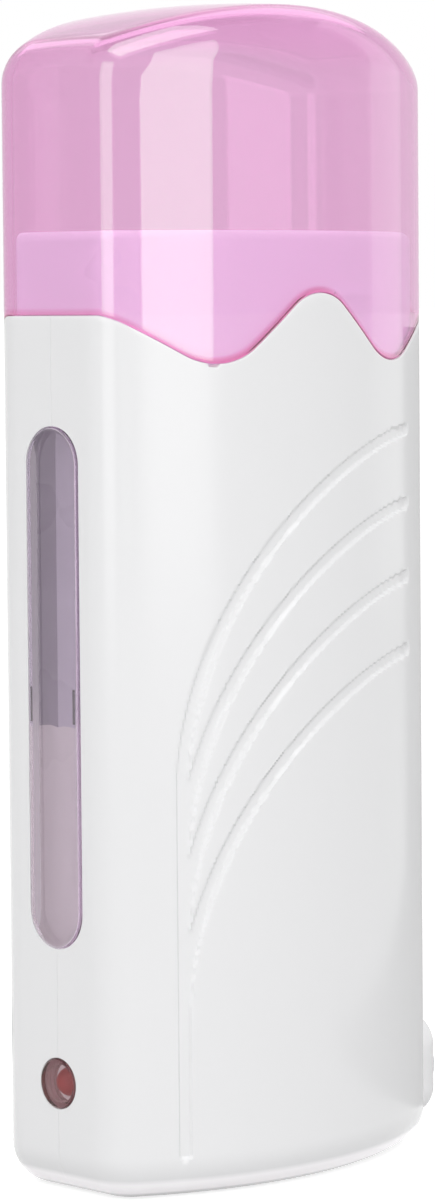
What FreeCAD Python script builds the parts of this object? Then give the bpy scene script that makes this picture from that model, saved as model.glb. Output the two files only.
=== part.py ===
import FreeCAD, Part
import Sketcher
import math
import os
import re

# Roll-on wax heater: an upright warming case for one wax cartridge, with a clear
# lift-off cover. Millimetres, +Z up, origin in the middle of the flat base.
# X runs along the broad faces, -Y is the front, and the sight window is on -X.

doc = FreeCAD.newDocument("RollOnWaxHeater")
sheet = doc.addObject("Spreadsheet::Sheet", "Sizes")

sizes = {
    # case, seen from above: two bowed broad faces, two flat sides, round corners
    "overallHeight": 186.1,
    "bowRadius": 61.0,
    "cornerRadius": 8.2,
    "baseRounding": 6.5,
    "shellWall": 2.0,
    "floorWall": 2.2,
    "seamGap": 0.1,
    "sideRoom": 3.5,
    "springGap": 0.2,
    # wavy line where the cover meets the case
    "rimSide": 137.0,
    "rimTrough": 129.4,
    "rimCrest": 140.2,
    "troughOffset": 19.5,
    "troughRadius": 10.2,
    "crestRadius": 8.2,
    "rimFlat": 0.5,
    "rimGap": 0.2,
    "notchWidth": 1.6,
    "notchDepth": 0.5,
    "notchShift": 0.7,
    # cover
    "coverWall": 1.5,
    "crownRadius": 83.0,
    "crownSideRadius": 195.0,
    "crownRounding": 7.6,
    # cartridge chamber and its neck
    "chamberWidth": 54.0,
    "chamberDepth": 33.6,
    "chamberCorner": 2.0,
    "sleeveWall": 1.4,
    "sleeveBottom": 28.0,
    "sleeveFloor": 1.6,
    "neckGap": 0.2,
    "neckTop": 150.0,
    "neckWall": 1.6,
    "neckRounding": 1.6,
    "skirtBottom": 126.8,
    "snapHeight": 0.4,
    "snapLevel": 140.0,
    "snapStart": 4.5,
    "snapLength": 10.3,
    "snapThickness": 0.8,
    "pipLevel": 144.7,
    "pipPlace": 23.05,
    "pipWidth": 2.7,
    "pipHeight": 4.0,
    "earThickness": 1.6,
    "earGap": 0.2,
    "earLap": 1.0,
    "seatGap": 0.05,
    # sight window
    "windowWidth": 11.8,
    "windowLength": 81.2,
    "windowCentre": 79.3,
    "windowProud": 0.3,
    "windowBevel": 0.8,
    "windowLip": 1.4,
    "lipThickness": 1.2,
    "lensGap": 0.1,
    "slotWidth": 2.0,
    "slotInset": 1.5,
    "slotNotchReach": 0.85,
    "slotNotchHeight": 5.5,
    "slotNotchLevel": 75.85,
    # pilot lamp
    "lampDiameter": 7.9,
    "lampLevel": 17.5,
    "lampFace": 1.0,
    "lampWall": 0.9,
    "lampProud": 0.2,
    "lampLip": 0.8,
    "lampLipThickness": 1.0,
    "ledDiameter": 4.5,
    "ledLength": 5.4,
    "ledRimDiameter": 5.2,
    "ledRimThickness": 1.0,
    "ledTipFlat": 0.2,
    "ledGap": 0.2,
    "ledStand": 1.9,
    "ledPitch": 2.54,
    "legWidth": 0.6,
    "legGap": 0.1,
    "boardThickness": 1.0,
    "boardWidth": 12.0,
    "boardHeight": 14.0,
    "boardGap": 0.15,
    "railWall": 2.0,
    "railGrip": 0.6,
    "railRise": 4.0,
    "resistorDrop": 3.5,
    "resistorDiameter": 2.3,
    "resistorLength": 6.2,
    "diodeRise": 4.0,
    "diodeDiameter": 2.6,
    "diodeLength": 4.6,
    "partStand": 1.6,
    "partBend": 0.9,
    "partPitch": 9.0,
    # mains inlet
    "bossReach": 4.9,
    "bossWidth": 20.0,
    "bossHeight": 16.8,
    "bossLevel": 11.4,
    "bossCorner": 5.0,
    "bossRounding": 1.8,
    "recessWidth": 15.6,
    "recessHeight": 8.0,
    "recessDepth": 10.0,
    "socketWall": 1.0,
    "socketBack": 2.4,
    "socketGap": 0.1,
    "socketInset": 0.2,
    "flangeWall": 1.0,
    "flangeThickness": 1.5,
    "flangeGap": 0.6,
    "fitGap": 0.05,
    "pinDiameter": 2.4,
    "pinPitch": 8.6,
    "pinReach": 8.4,
    "pinPoint": 0.5,
    "pinNeckDiameter": 2.0,
    "pinNeckLength": 0.3,
    "pinCollar": 0.6,
    "pinCollarLength": 0.75,
    "tailDiameter": 1.6,
    "tailLength": 6.0,
    # heater on each broad side of the chamber
    "plateWidth": 34.0,
    "plateHeight": 38.0,
    "plateBottom": 34.0,
    "plateLap": 3.0,
    "plateFlange": 0.7,
    "plateGap": 0.15,
    "padWidth": 14.0,
    "padRise": 0.3,
    "padInset": 1.0,
    "ceramicWidth": 12.0,
    "ceramicHeight": 15.0,
    "ceramicThickness": 1.0,
    "ceramicGap": 1.0,
    "electrodeThickness": 0.2,
    "filmThickness": 0.15,
    "filmGap": 0.05,
    "filmOverhang": 1.0,
    "stripHeight": 34.0,
    "springThickness": 0.25,
    "springWidth": 6.0,
    "springLift": 0.25,
    "springBend": 7.0,
    "tabWidth": 5.0,
    "tabStep": 1.6,
    "tabPlace": 3.0,
    "tabBottom": 21.0,
    # grooves on the broad faces
    "grooveWidth": 1.8,
    "grooveDepth": 0.45,
    "trunkPlace": 25.5,
    "trunkBottom": 7.4,
    "branchRadius": 55.5,
    "branchPitch": 11.87,
    "branchBase": 27.3,
    "branchEnd": 24.5,
    # screws and wiring
    "screwDiameter": 2.0,
    "screwGap": 0.15,
    "screwPoint": 0.6,
    "screwTaper": 1.2,
    "headDiameter": 3.6,
    "headHeight": 1.4,
    "headBevel": 0.3,
    "driveDiameter": 1.0,
    "driveDepth": 0.8,
    "screwLength": 13.0,
    "screwSeat": 5.0,
    "pilotGap": 0.02,
    "pilotSpare": 1.0,
    "postDiameter": 5.0,
    "postGap": 0.2,
    "upperScrewLevel": 124.2,
    "tailRoom": 7.2,
    "lowerScrewLevel": 14.0,
    "fuseDiameter": 4.0,
    "fuseLength": 11.0,
    "fuseSetback": 8.0,
    "fuseLevel": 23.0,
    "fuseSeal": 1.5,
    "fuseSealStep": 0.8,
    "fuseLegDiameter": 0.8,
    "fuseLegLength": 4.0,
    "leadDiameter": 1.3,
    "leadBend": 2.0,
    "bayRise": 3.8,
}
branchCount = 4

# worked out from the sizes above: the case is as wide and deep as the chamber and what stands round it
derived = {
    "packThickness": "(plateFlange + padRise + 2*filmThickness + 2*electrodeThickness + ceramicThickness"
                     " + springThickness + springLift)",
    "bodyDepth": "(chamberDepth + 2*(sleeveWall + packThickness + springGap + shellWall))",
    "bodyWidth": "(chamberWidth + 2*(sleeveWall + sideRoom + neckWall + neckGap + shellWall))",
    "upperScrewPlace": "(chamberWidth/2 + sleeveWall + postGap + postDiameter/2)",
    "lowerScrewPlace": "(bodyWidth/2 + bossReach - recessDepth - socketBack - tailLength - tailRoom)",
    "ledTip": "(bodyWidth/2 + lampProud - lampFace - ledGap)",
    "boardPlace": "(ledTip - ledLength - ledStand)",
    # how far a cutting shape runs past the face it cuts
    "past": "shellWall",
}

for row, (name, value) in enumerate(sizes.items(), start=1):
    sheet.set(f"A{row}", name)
    sheet.set(f"B{row}", str(value))
    sheet.setAlias(f"B{row}", name)
doc.recompute()


# ---------------------------------------------------------------- helpers

def rule(text):
    """Turn a rule in plain names into one the document can follow."""
    def spelled(word):
        name = word.group()
        if name in derived:
            return rule(derived[name])
        return "Sizes." + name if name in sizes else name

    return re.sub(r"[A-Za-z]+", spelled, text)


def amount(text):
    """The present value of a rule, in millimetres."""
    return float(sheet.evalExpression(rule(text)))


def place(item, x=None, y=None, z=None):
    for letter, text in (("x", x), ("y", y), ("z", z)):
        if text is not None:
            item.setExpression("Placement.Base." + letter, rule(text))


def block(name, x, y, z):
    """A box between two rules along each axis."""
    item = doc.addObject("Part::Box", name)
    for side, (low, high) in (("Length", x), ("Width", y), ("Height", z)):
        item.setExpression(side, rule(f"({high}) - ({low})"))
    place(item, x[0], y[0], z[0])
    return item


turns = {
    "X": FreeCAD.Rotation(FreeCAD.Vector(0, 1, 0), 90),
    "Y": FreeCAD.Rotation(FreeCAD.Vector(1, 0, 0), -90),
}


def rod(name, axis, radius, length, x, y, z):
    """A cylinder that starts at x, y, z and runs up its axis."""
    item = doc.addObject("Part::Cylinder", name)
    item.Placement.Rotation = turns[axis]
    item.setExpression("Radius", rule(radius))
    item.setExpression("Height", rule(length))
    place(item, x, y, z)
    return item


def join(name, *items):
    item = doc.addObject("Part::MultiFuse", name)
    item.Shapes = list(items)
    return item


def cut(name, base, *tools):
    item = doc.addObject("Part::Cut", name)
    item.Base = base
    item.Tool = tools[0] if len(tools) == 1 else join(name + "Tools", *tools)
    return item


def common(name, *items):
    item = doc.addObject("Part::MultiCommon", name)
    item.Shapes = list(items)
    return item


def extrude(name, sketch, length, symmetric=False):
    item = doc.addObject("Part::Extrusion", name)
    item.Base = sketch
    item.DirMode = "Normal"
    item.Solid = True
    item.Symmetric = symmetric
    item.setExpression("LengthFwd", rule(length))
    return item


def mirrorY(name, source):
    item = doc.addObject("Part::Mirroring", name)
    item.Source = source
    item.Normal = (0, 1, 0)
    return item


def rounded(name, base, radius, wanted):
    """Round the edges that the test picks out."""
    doc.recompute()
    item = doc.addObject("Part::Fillet", name)
    item.Base = base
    size = amount(radius)
    picked = [n for n, edge in enumerate(base.Shape.Edges, start=1) if wanted(edge.BoundBox)]
    item.Edges = [(n, size, size) for n in picked]
    return item


def flat(box, level):
    return round(box.ZMin - level, 3) == 0 and round(box.ZMax - level, 3) == 0


planes = {
    "XY": FreeCAD.Rotation(),
    "XZ": FreeCAD.Rotation(FreeCAD.Vector(1, 0, 0), 90),
    "YZ": FreeCAD.Rotation(FreeCAD.Vector(0, 1, 0), FreeCAD.Vector(0, 0, 1), FreeCAD.Vector(1, 0, 0), "XYZ"),
}


def freeSketch(name, plane):
    sketch = doc.addObject("Sketcher::SketchObject", name)
    sketch.Placement.Rotation = planes[plane]
    return sketch


def bodySketch(body, plane, name):
    sketch = body.newObject("Sketcher::SketchObject", name)
    face = next(item for item in body.Origin.OriginFeatures if item.Role == plane + "_Plane")
    sketch.AttachmentSupport = [(face, "")]
    sketch.MapMode = "FlatFace"
    return sketch


def drive(sketch, kind, text, *where):
    """Add a dimension that follows a rule."""
    number = sketch.addConstraint(Sketcher.Constraint(kind, *where, amount(text)))
    sketch.setExpression(f"Constraints[{number}]", rule(text))


def pin(sketch, element, point, x=None, y=None):
    """Hold a point at rules measured from the sketch's origin."""
    for kind, text, axis in (("DistanceX", x, -2), ("DistanceY", y, -1)):
        if text is None:
            continue
        if text == "0":
            sketch.addConstraint(Sketcher.Constraint("PointOnObject", element, point, axis))
        else:
            drive(sketch, kind, text, -1, 1, element, point)


def line(sketch, start, end):
    return sketch.addGeometry(Part.LineSegment(FreeCAD.Vector(*start, 0), FreeCAD.Vector(*end, 0)), False)


def arc(sketch, centre, radius, start, end):
    circle = Part.Circle(FreeCAD.Vector(*centre, 0), FreeCAD.Vector(0, 0, 1), radius)
    return sketch.addGeometry(Part.ArcOfCircle(circle, start, end), False)


def ovalSketch(name, width, depth, bow, corner, level="0"):
    """The case's plan: two bowed faces and two flat sides joined by round corners."""
    halfW, halfD, bigR, r = (amount(text) for text in (f"({width})/2", f"({depth})/2", bow, corner))
    bowY = bigR - halfD
    cornerX = halfW - r
    cornerY = math.sqrt((bigR - r) ** 2 - cornerX ** 2) - bowY
    lean = math.atan2(cornerX, cornerY + bowY)
    quarter = math.pi / 2
    sketch = freeSketch(name, "XY")
    rear = arc(sketch, (0, -bowY), bigR, quarter - lean, quarter + lean)
    rearLeft = arc(sketch, (-cornerX, cornerY), r, quarter + lean, 2 * quarter)
    left = line(sketch, (-halfW, cornerY), (-halfW, -cornerY))
    frontLeft = arc(sketch, (-cornerX, -cornerY), r, 2 * quarter, 3 * quarter - lean)
    front = arc(sketch, (0, bowY), bigR, 3 * quarter - lean, 3 * quarter + lean)
    frontRight = arc(sketch, (cornerX, -cornerY), r, 3 * quarter + lean, 4 * quarter)
    right = line(sketch, (halfW, -cornerY), (halfW, cornerY))
    rearRight = arc(sketch, (cornerX, cornerY), r, 0, quarter - lean)
    ring = [rear, rearLeft, left, frontLeft, front, frontRight, right, rearRight]
    for here, after in zip(ring, ring[1:] + ring[:1]):
        sketch.addConstraint(Sketcher.Constraint("Tangent", here, 2, after, 1))
    for side in (left, right):
        sketch.addConstraint(Sketcher.Constraint("Vertical", side))
    for turn in (rearLeft, frontLeft, frontRight):
        sketch.addConstraint(Sketcher.Constraint("Equal", rearRight, turn))
    sketch.addConstraint(Sketcher.Constraint("Equal", rear, front))
    drive(sketch, "Radius", bow, rear)
    drive(sketch, "Radius", corner, rearRight)
    pin(sketch, right, 1, f"({width})/2")
    pin(sketch, left, 1, f"-({width})/2")
    pin(sketch, front, 3, "0", f"({bow}) - ({depth})/2")
    pin(sketch, rear, 3, "0", f"({depth})/2 - ({bow})")
    place(sketch, z=level)
    return sketch


def caseSection(name, inset="0", level="0"):
    """The case's plan, moved in by the same distance all round."""
    return ovalSketch(name, f"bodyWidth - 2*({inset})", f"bodyDepth - 2*({inset})", f"bowRadius - ({inset})",
                      f"cornerRadius - ({inset})", level)


def chamberSection(name, outset="0", level="0"):
    """The cartridge's plan, whose broad faces share the case's centres of bow."""
    return ovalSketch(name, f"chamberWidth + 2*({outset})", f"chamberDepth + 2*({outset})",
                      f"bowRadius - bodyDepth/2 + chamberDepth/2 + ({outset})",
                      f"chamberCorner + ({outset})", level)


def outline(sketch, points):
    """A closed shape of straight lines, every corner held by two rules."""
    spots = [(amount(x), amount(y)) for x, y in points]
    lines = [line(sketch, here, after) for here, after in zip(spots, spots[1:] + spots[:1])]
    for here, after in zip(lines, lines[1:] + lines[:1]):
        sketch.addConstraint(Sketcher.Constraint("Coincident", here, 2, after, 1))
    for element, (x, y) in zip(lines, points):
        pin(sketch, element, 1, x, y)


def slotSketch(sketch, along, width, length, centre):
    """A slot with round ends. It runs along the sketch's second axis when along is true."""
    half, r, mid = amount(f"({length} - ({width}))/2"), amount(f"({width})/2"), amount(centre)
    if along:
        ends = ((0, mid + half), (0, mid - half))
        angles = ((0, math.pi), (math.pi, 2 * math.pi))
        sides = (((-r, mid + half), (-r, mid - half)), ((r, mid - half), (r, mid + half)))
    else:
        ends = ((half, mid), (-half, mid))
        angles = ((-math.pi / 2, math.pi / 2), (math.pi / 2, 3 * math.pi / 2))
        sides = (((half, mid + r), (-half, mid + r)), ((-half, mid - r), (half, mid - r)))
    first = arc(sketch, ends[0], r, *angles[0])
    sideA = line(sketch, *sides[0])
    second = arc(sketch, ends[1], r, *angles[1])
    sideB = line(sketch, *sides[1])
    ring = [first, sideA, second, sideB]
    for here, after in zip(ring, ring[1:] + ring[:1]):
        sketch.addConstraint(Sketcher.Constraint("Tangent", here, 2, after, 1))
    drive(sketch, "Radius", f"({width})/2", first)
    reach = f"({length} - ({width}))/2"
    if along:
        pin(sketch, first, 3, "0", f"{centre} + {reach}")
        pin(sketch, second, 3, "0", f"{centre} - {reach}")
    else:
        pin(sketch, first, 3, reach, centre)
        pin(sketch, second, 3, f"-{reach}", centre)
    return sketch


def slotSolid(name, width, length, centre, x, thickness, along=True):
    """A round-ended block that starts at x and runs along +X."""
    sketch = slotSketch(freeSketch(name + "Sketch", "YZ"), along, width, length, centre)
    place(sketch, x=x)
    return extrude(name, sketch, thickness)


def turned(name, profile, axis, x, y, z):
    """A piece turned about its own axis. The profile lists radius and height."""
    body = doc.addObject("PartDesign::Body", name)
    sketch = bodySketch(body, "XZ", name + "Profile")
    outline(sketch, profile)
    spin = body.newObject("PartDesign::Revolution", name + "Spin")
    spin.Profile = sketch
    spin.ReferenceAxis = (sketch, ["V_Axis"])
    spin.Angle = 360
    body.Placement.Rotation = turns[axis]
    place(body, x, y, z)
    return body


def padded(name, plane, points, thickness, x=None, y=None, z=None, midplane=False):
    """A plate of the given outline, padded from its own plane."""
    body = doc.addObject("PartDesign::Body", name)
    sketch = bodySketch(body, plane, name + "Outline")
    outline(sketch, points)
    pad = body.newObject("PartDesign::Pad", name + "Pad")
    pad.Profile = sketch
    pad.setExpression("Length", rule(thickness))
    pad.Midplane = midplane
    place(body, x, y, z)
    return body


def leadPath(points, bend):
    """Straight runs joined by tangent arcs through the given points."""
    share = 0.45
    spots = [FreeCAD.Vector(*point) for point in points]
    edges = []
    start = spots[0]
    for before, corner, after in zip(spots, spots[1:], spots[2:]):
        back = (before - corner).normalize()
        ahead = (after - corner).normalize()
        half = back.getAngle(ahead) / 2
        reach = min(bend / math.tan(half), share * (before - corner).Length, share * (after - corner).Length)
        middle = (back + ahead).normalize()
        inner = reach / math.cos(half) - reach * math.tan(half)
        leave, arrive = corner + back * reach, corner + ahead * reach
        edges.append(Part.LineSegment(start, leave).toShape())
        edges.append(Part.Arc(leave, corner + middle * inner, arrive).toShape())
        start = arrive
    edges.append(Part.LineSegment(start, spots[-1]).toShape())
    return Part.Wire(edges)


def lead(name, diameter, points, bend="leadBend"):
    """A round wire along a bent path, given as rules."""
    spots = [tuple(amount(text) for text in point) for point in points]
    path = leadPath(spots, amount(bend))
    first = FreeCAD.Vector(*spots[0])
    ring = Part.Wire(Part.makeCircle(amount(diameter) / 2, first, FreeCAD.Vector(*spots[1]) - first))
    item = doc.addObject("Part::Feature", name)
    item.Shape = path.makePipeShell([ring], True, False)
    return item


nodes = {}

# ---------------------------------------------------------------- case

casePrism = extrude("casePrism", caseSection("casePlan"), "rimCrest + past")
caseBlank = rounded("caseBlank", casePrism, "baseRounding", lambda box: flat(box, 0))

bossPlan = freeSketch("bossPlan", "YZ")
outline(bossPlan, [("-bossWidth/2", "bossLevel - bossHeight/2"), ("bossWidth/2", "bossLevel - bossHeight/2"),
                   ("bossWidth/2", "bossLevel + bossHeight/2"), ("-bossWidth/2", "bossLevel + bossHeight/2")])
place(bossPlan, x="bodyWidth/2 - baseRounding")
bossPrism = extrude("bossPrism", bossPlan, "bossReach + baseRounding")
bossSides = rounded("bossSides", bossPrism, "bossCorner",
                    lambda box: box.XMax - box.XMin > amount("bossReach"))
boss = rounded("inletBoss", bossSides, "bossRounding",
               lambda box: box.XMin > amount("bodyWidth/2 + bossReach/2"))

cavityPrism = extrude("cavityPrism", caseSection("cavityPlan", "shellWall", "floorWall"), "overallHeight")
cavity = rounded("cavity", cavityPrism, "baseRounding - floorWall",
                 lambda box: flat(box, amount("floorWall")))
hollow = cut("caseHollow", join("caseSolid", caseBlank, boss), cavity)


def waveSketch(name, lift):
    """Everything below the wavy rim line, in the X-Z plane."""
    sketch = freeSketch(name, "XZ")
    clear = "(bossReach + past)"
    trough = (amount("troughOffset"), amount("rimTrough + troughRadius"))
    crest = (0, amount("rimCrest - crestRadius"))
    rT, rC = amount("troughRadius"), amount("crestRadius")
    side = (amount("bodyWidth/2 - rimFlat"), amount("rimSide"))
    wide, low = amount(f"bodyWidth/2 + {clear}"), -amount("past")
    # tilt of the straight run between crest and trough, and of the one up to the side
    apart = math.hypot(trough[0], trough[1] - crest[1])
    inner = math.asin((rT + rC) / apart) - math.atan2(trough[1] - crest[1], trough[0])
    away = math.hypot(side[0] - trough[0], trough[1] - side[1])
    outer = math.asin(rT / away) - math.atan2(trough[1] - side[1], side[0] - trough[0])

    def onTrough(angle, sign):
        return (sign * (trough[0] + rT * math.sin(angle)), trough[1] - rT * math.cos(angle))

    def onCrest(sign):
        return (sign * rC * math.sin(inner), crest[1] + rC * math.cos(inner))

    down = 1.5 * math.pi
    wallL = line(sketch, (-wide, low), (-wide, side[1]))
    flatL = line(sketch, (-wide, side[1]), (-side[0], side[1]))
    slopeL = line(sketch, (-side[0], side[1]), onTrough(outer, -1))
    troughL = arc(sketch, (-trough[0], trough[1]), rT, down - outer, down + inner)
    riseL = line(sketch, onTrough(-inner, -1), onCrest(-1))
    top = arc(sketch, crest, rC, math.pi / 2 - inner, math.pi / 2 + inner)
    riseR = line(sketch, onCrest(1), onTrough(-inner, 1))
    troughR = arc(sketch, trough, rT, down - inner, down + outer)
    slopeR = line(sketch, onTrough(outer, 1), side)
    flatR = line(sketch, side, (wide, side[1]))
    wallR = line(sketch, (wide, side[1]), (wide, low))
    bottom = line(sketch, (wide, low), (-wide, low))

    def meet(kind, a, endA, b, endB):
        sketch.addConstraint(Sketcher.Constraint(kind, a, endA, b, endB))

    meet("Coincident", wallL, 2, flatL, 1)
    meet("Coincident", flatL, 2, slopeL, 1)
    meet("Tangent", slopeL, 2, troughL, 1)
    meet("Tangent", troughL, 2, riseL, 1)
    meet("Tangent", riseL, 2, top, 2)
    meet("Tangent", top, 1, riseR, 1)
    meet("Tangent", riseR, 2, troughR, 1)
    meet("Tangent", troughR, 2, slopeR, 1)
    meet("Coincident", slopeR, 2, flatR, 1)
    meet("Coincident", flatR, 2, wallR, 1)
    meet("Coincident", wallR, 2, bottom, 1)
    meet("Coincident", bottom, 2, wallL, 1)
    for upright in (wallL, wallR):
        sketch.addConstraint(Sketcher.Constraint("Vertical", upright))
    for level in (flatL, flatR, bottom):
        sketch.addConstraint(Sketcher.Constraint("Horizontal", level))
    for element in (troughL, troughR):
        drive(sketch, "Radius", "troughRadius", element)
    drive(sketch, "Radius", "crestRadius", top)
    pin(sketch, top, 3, "0", "rimCrest - crestRadius")
    pin(sketch, troughL, 3, "-troughOffset", "rimTrough + troughRadius")
    pin(sketch, troughR, 3, "troughOffset", "rimTrough + troughRadius")
    pin(sketch, slopeL, 1, "-(bodyWidth/2 - rimFlat)", "rimSide")
    pin(sketch, slopeR, 2, "bodyWidth/2 - rimFlat", "rimSide")
    pin(sketch, wallL, 1, f"-(bodyWidth/2 + {clear})", "-past")
    pin(sketch, wallR, 2, f"bodyWidth/2 + {clear}")
    place(sketch, z=lift)
    return sketch


belowRim = extrude("belowRim", waveSketch("rimLine", "0"), "bodyDepth + 2*past", symmetric=True)
caseTrimmed = common("caseTrimmed", hollow, belowRim)

windowHole = slotSolid("windowHole", "windowWidth + 2*lensGap", "windowLength + 2*lensGap", "windowCentre",
                       "-bodyWidth/2 - past", "shellWall + 2*past")
lampHole = rod("lampHole", "X", "lampDiameter/2 + lensGap", "shellWall + 2*past", "-bodyWidth/2 - past", "0",
               "lampLevel")
socketWidth = "(recessWidth + 2*socketWall)"
socketHeight = "(recessHeight + 2*socketWall)"
socketHole = slotSolid("socketHole", f"{socketHeight} + 2*socketGap", f"{socketWidth} + 2*socketGap",
                       "bossLevel", "bodyWidth/2 - recessDepth - past", "recessDepth + bossReach + 2*past",
                       along=False)

# grooves: a trunk with four quarter-circle branches, cut to an even depth in the bowed face
frontReach = ("-bodyDepth", "0")
trunk = block("trunk", ("-trunkPlace - grooveWidth/2", "-trunkPlace + grooveWidth/2"), frontReach,
              ("trunkBottom", f"branchBase + branchPitch*{branchCount - 1}"))
trunkEnd = rod("trunkEnd", "Y", "grooveWidth/2", "bodyDepth", "-trunkPlace", "-bodyDepth", "trunkBottom")
strokes = [trunk, trunkEnd]
for number in range(branchCount):
    level = f"(branchBase + branchPitch*{number})"
    centre = "(branchRadius - trunkPlace)"
    outer = rod(f"branchOuter{number}", "Y", "branchRadius + grooveWidth/2", "bodyDepth", centre, "-bodyDepth",
                level)
    inner = rod(f"branchInner{number}", "Y", "branchRadius - grooveWidth/2", "bodyDepth + 2*past", centre,
                "-bodyDepth - past", level)
    quarter = block(f"branchQuarter{number}", ("-trunkPlace - grooveWidth", "branchEnd"), frontReach,
                    (level, f"{level} + branchRadius + grooveWidth"))
    strokes.append(common(f"branch{number}", cut(f"branchRing{number}", outer, inner), quarter))
    strokes.append(rod(f"branchTip{number}", "Y", "grooveWidth/2", "bodyDepth", "branchEnd", "-bodyDepth",
                       f"{level} + sqrt(branchRadius^2 - (branchEnd - {centre})^2)"))
pattern = join("groovePattern", *strokes)
grooveCore = extrude("grooveCore", caseSection("grooveCorePlan", "grooveDepth", "-past"), "overallHeight")
groovesFront = cut("groovesFront", pattern, grooveCore)
groovesRear = mirrorY("groovesRear", groovesFront)
notchPlace = "(-troughOffset - notchShift)"
notch = block("rimNotch", (f"{notchPlace} - notchWidth/2", f"{notchPlace} + notchWidth/2"), frontReach,
              ("rimTrough - notchDepth", "rimTrough + past"))

caseOpen = cut("caseOpen", caseTrimmed, windowHole, lampHole, socketHole)

# screw posts; the upper pair grips the ears of the sleeve, the lower pair meets at the seam
screwSpots = []
upperStart = "earThickness/2 + seamGap"
for sign, side in ((-1, "Left"), (1, "Right")):
    screwSpots.append(("Upper" + side, f"{sign}*upperScrewPlace", "upperScrewLevel", upperStart))
    screwSpots.append(("Lower" + side, f"{sign}*lowerScrewPlace", "lowerScrewLevel", "seamGap/2"))
rearReach = ("seamGap/2", "bodyDepth")
postRoom = extrude("postRoom", caseSection("postRoomPlan", "shellWall/2", "floorWall/2"), "rimSide")
frontPosts = []
rearPosts = []
pilots = []
passages = []
for spot, x, z, start in screwSpots:
    reach = f"bodyDepth/2 - ({start})"
    frontPosts.append(rod("frontPost" + spot, "Y", "postDiameter/2", reach, x, "-bodyDepth/2", z))
    rearPosts.append(rod("rearPost" + spot, "Y", "postDiameter/2", reach, x, start, z))
    depth = "(screwLength - screwSeat + pilotSpare)"
    pilots.append(rod("pilot" + spot, "Y", "screwDiameter/2 + pilotGap", depth, x, f"-{depth}", z))
    passages.append(rod("shankHole" + spot, "Y", "screwDiameter/2 + screwGap", "bodyDepth", x, "0", z))
    passages.append(rod("headHole" + spot, "Y", "headDiameter/2 + screwGap", "bodyDepth", x, "screwSeat", z))

# rails that hold the lamp's circuit board upright
boardBack = "(-boardPlace)"
rails = []
for side, reach in (("Front", "-(boardWidth/2 + railWall)"), ("Rear", "boardWidth/2 - railGrip")):
    rails.append(block("boardRail" + side,
                       (f"{boardBack} - railWall", f"{boardBack} + boardThickness + railWall"),
                       (reach, f"{reach} + railWall + railGrip"), ("floorWall/2", "lampLevel + railRise")))
boardSlot = block("boardSlot", (f"{boardBack} - boardGap", f"{boardBack} + boardThickness + boardGap"),
                  ("-boardWidth/2 - boardGap", "boardWidth/2 + boardGap"),
                  ("lampLevel - boardHeight/2 - boardGap", "overallHeight"))

halfX, halfZ = ("-bodyWidth", "bodyWidth"), ("-past", "overallHeight")
frontHalf = block("frontHalf", halfX, ("-bodyDepth", "-seamGap/2"), halfZ)
rearHalf = block("rearHalf", halfX, ("seamGap/2", "bodyDepth"), halfZ)
frontInside = common("frontInside", join("frontFittings", *frontPosts, rails[0]), postRoom)
frontBlank = join("frontBlank", common("frontCase", caseOpen, frontHalf), frontInside)
nodes["front_shell"] = cut("frontShell", frontBlank, groovesFront, boardSlot, notch, *pilots)
rearInside = common("rearInside", join("rearFittings", *rearPosts, rails[1]), postRoom)
rearBlank = join("rearBlank", common("rearCase", caseOpen, rearHalf), rearInside)
nodes["rear_shell"] = cut("rearShell", rearBlank, groovesRear, boardSlot, *passages)

# ---------------------------------------------------------------- cover

def crown(name, inset):
    """The cover's crowned top: an arc along X that is carried round a larger arc along Y."""
    item = doc.addObject("Part::Torus", name)
    item.Placement.Rotation = turns["X"]
    item.setExpression("Radius1", rule("crownSideRadius - crownRadius"))
    item.setExpression("Radius2", rule(f"crownRadius - ({inset})"))
    place(item, z="overallHeight - crownSideRadius")
    return item


def coverSolid(name, inset):
    plan = caseSection(name + "Plan", inset, "rimTrough - past")
    prism = extrude(name + "Prism", plan, "overallHeight - rimTrough + 2*past")
    blank = common(name + "Blank", prism, crown(name + "Crown", inset))
    return rounded(name, blank, f"crownRounding - ({inset})", lambda box: box.ZMin > amount("neckTop"))


aboveRim = extrude("coverCut", waveSketch("coverLine", "rimGap"), "bodyDepth + 2*past", symmetric=True)
nodes["cover"] = cut("cover", coverSolid("coverOuter", "0"), coverSolid("coverInner", "coverWall"), aboveRim)

# ---------------------------------------------------------------- cartridge sleeve

neckInset = "(shellWall + neckGap)"
skirtPlan = caseSection("skirtPlan", neckInset, "skirtBottom")
skirtPrism = extrude("skirtPrism", skirtPlan, "neckTop - skirtBottom")
skirt = rounded("skirt", skirtPrism, "neckRounding", lambda box: flat(box, amount("neckTop")))
skirtRoomPlan = caseSection("skirtRoomPlan", f"{neckInset} + neckWall", "skirtBottom - past")
skirtRoom = extrude("skirtRoom", skirtRoomPlan, "neckTop - skirtBottom + past - neckWall")
tubePlan = chamberSection("tubePlan", "sleeveWall", "sleeveBottom")
tube = extrude("tube", tubePlan, "neckTop - sleeveBottom - neckWall/2")
chamberPlan = chamberSection("chamberPlan", "0", "sleeveBottom + sleeveFloor")
chamber = extrude("chamber", chamberPlan, "overallHeight")
beadPlan = caseSection("beadRoomPlan", f"{neckInset} - snapHeight", "rimTrough")
beadRoom = extrude("beadRoom", beadPlan, "neckTop - rimTrough")
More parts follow.
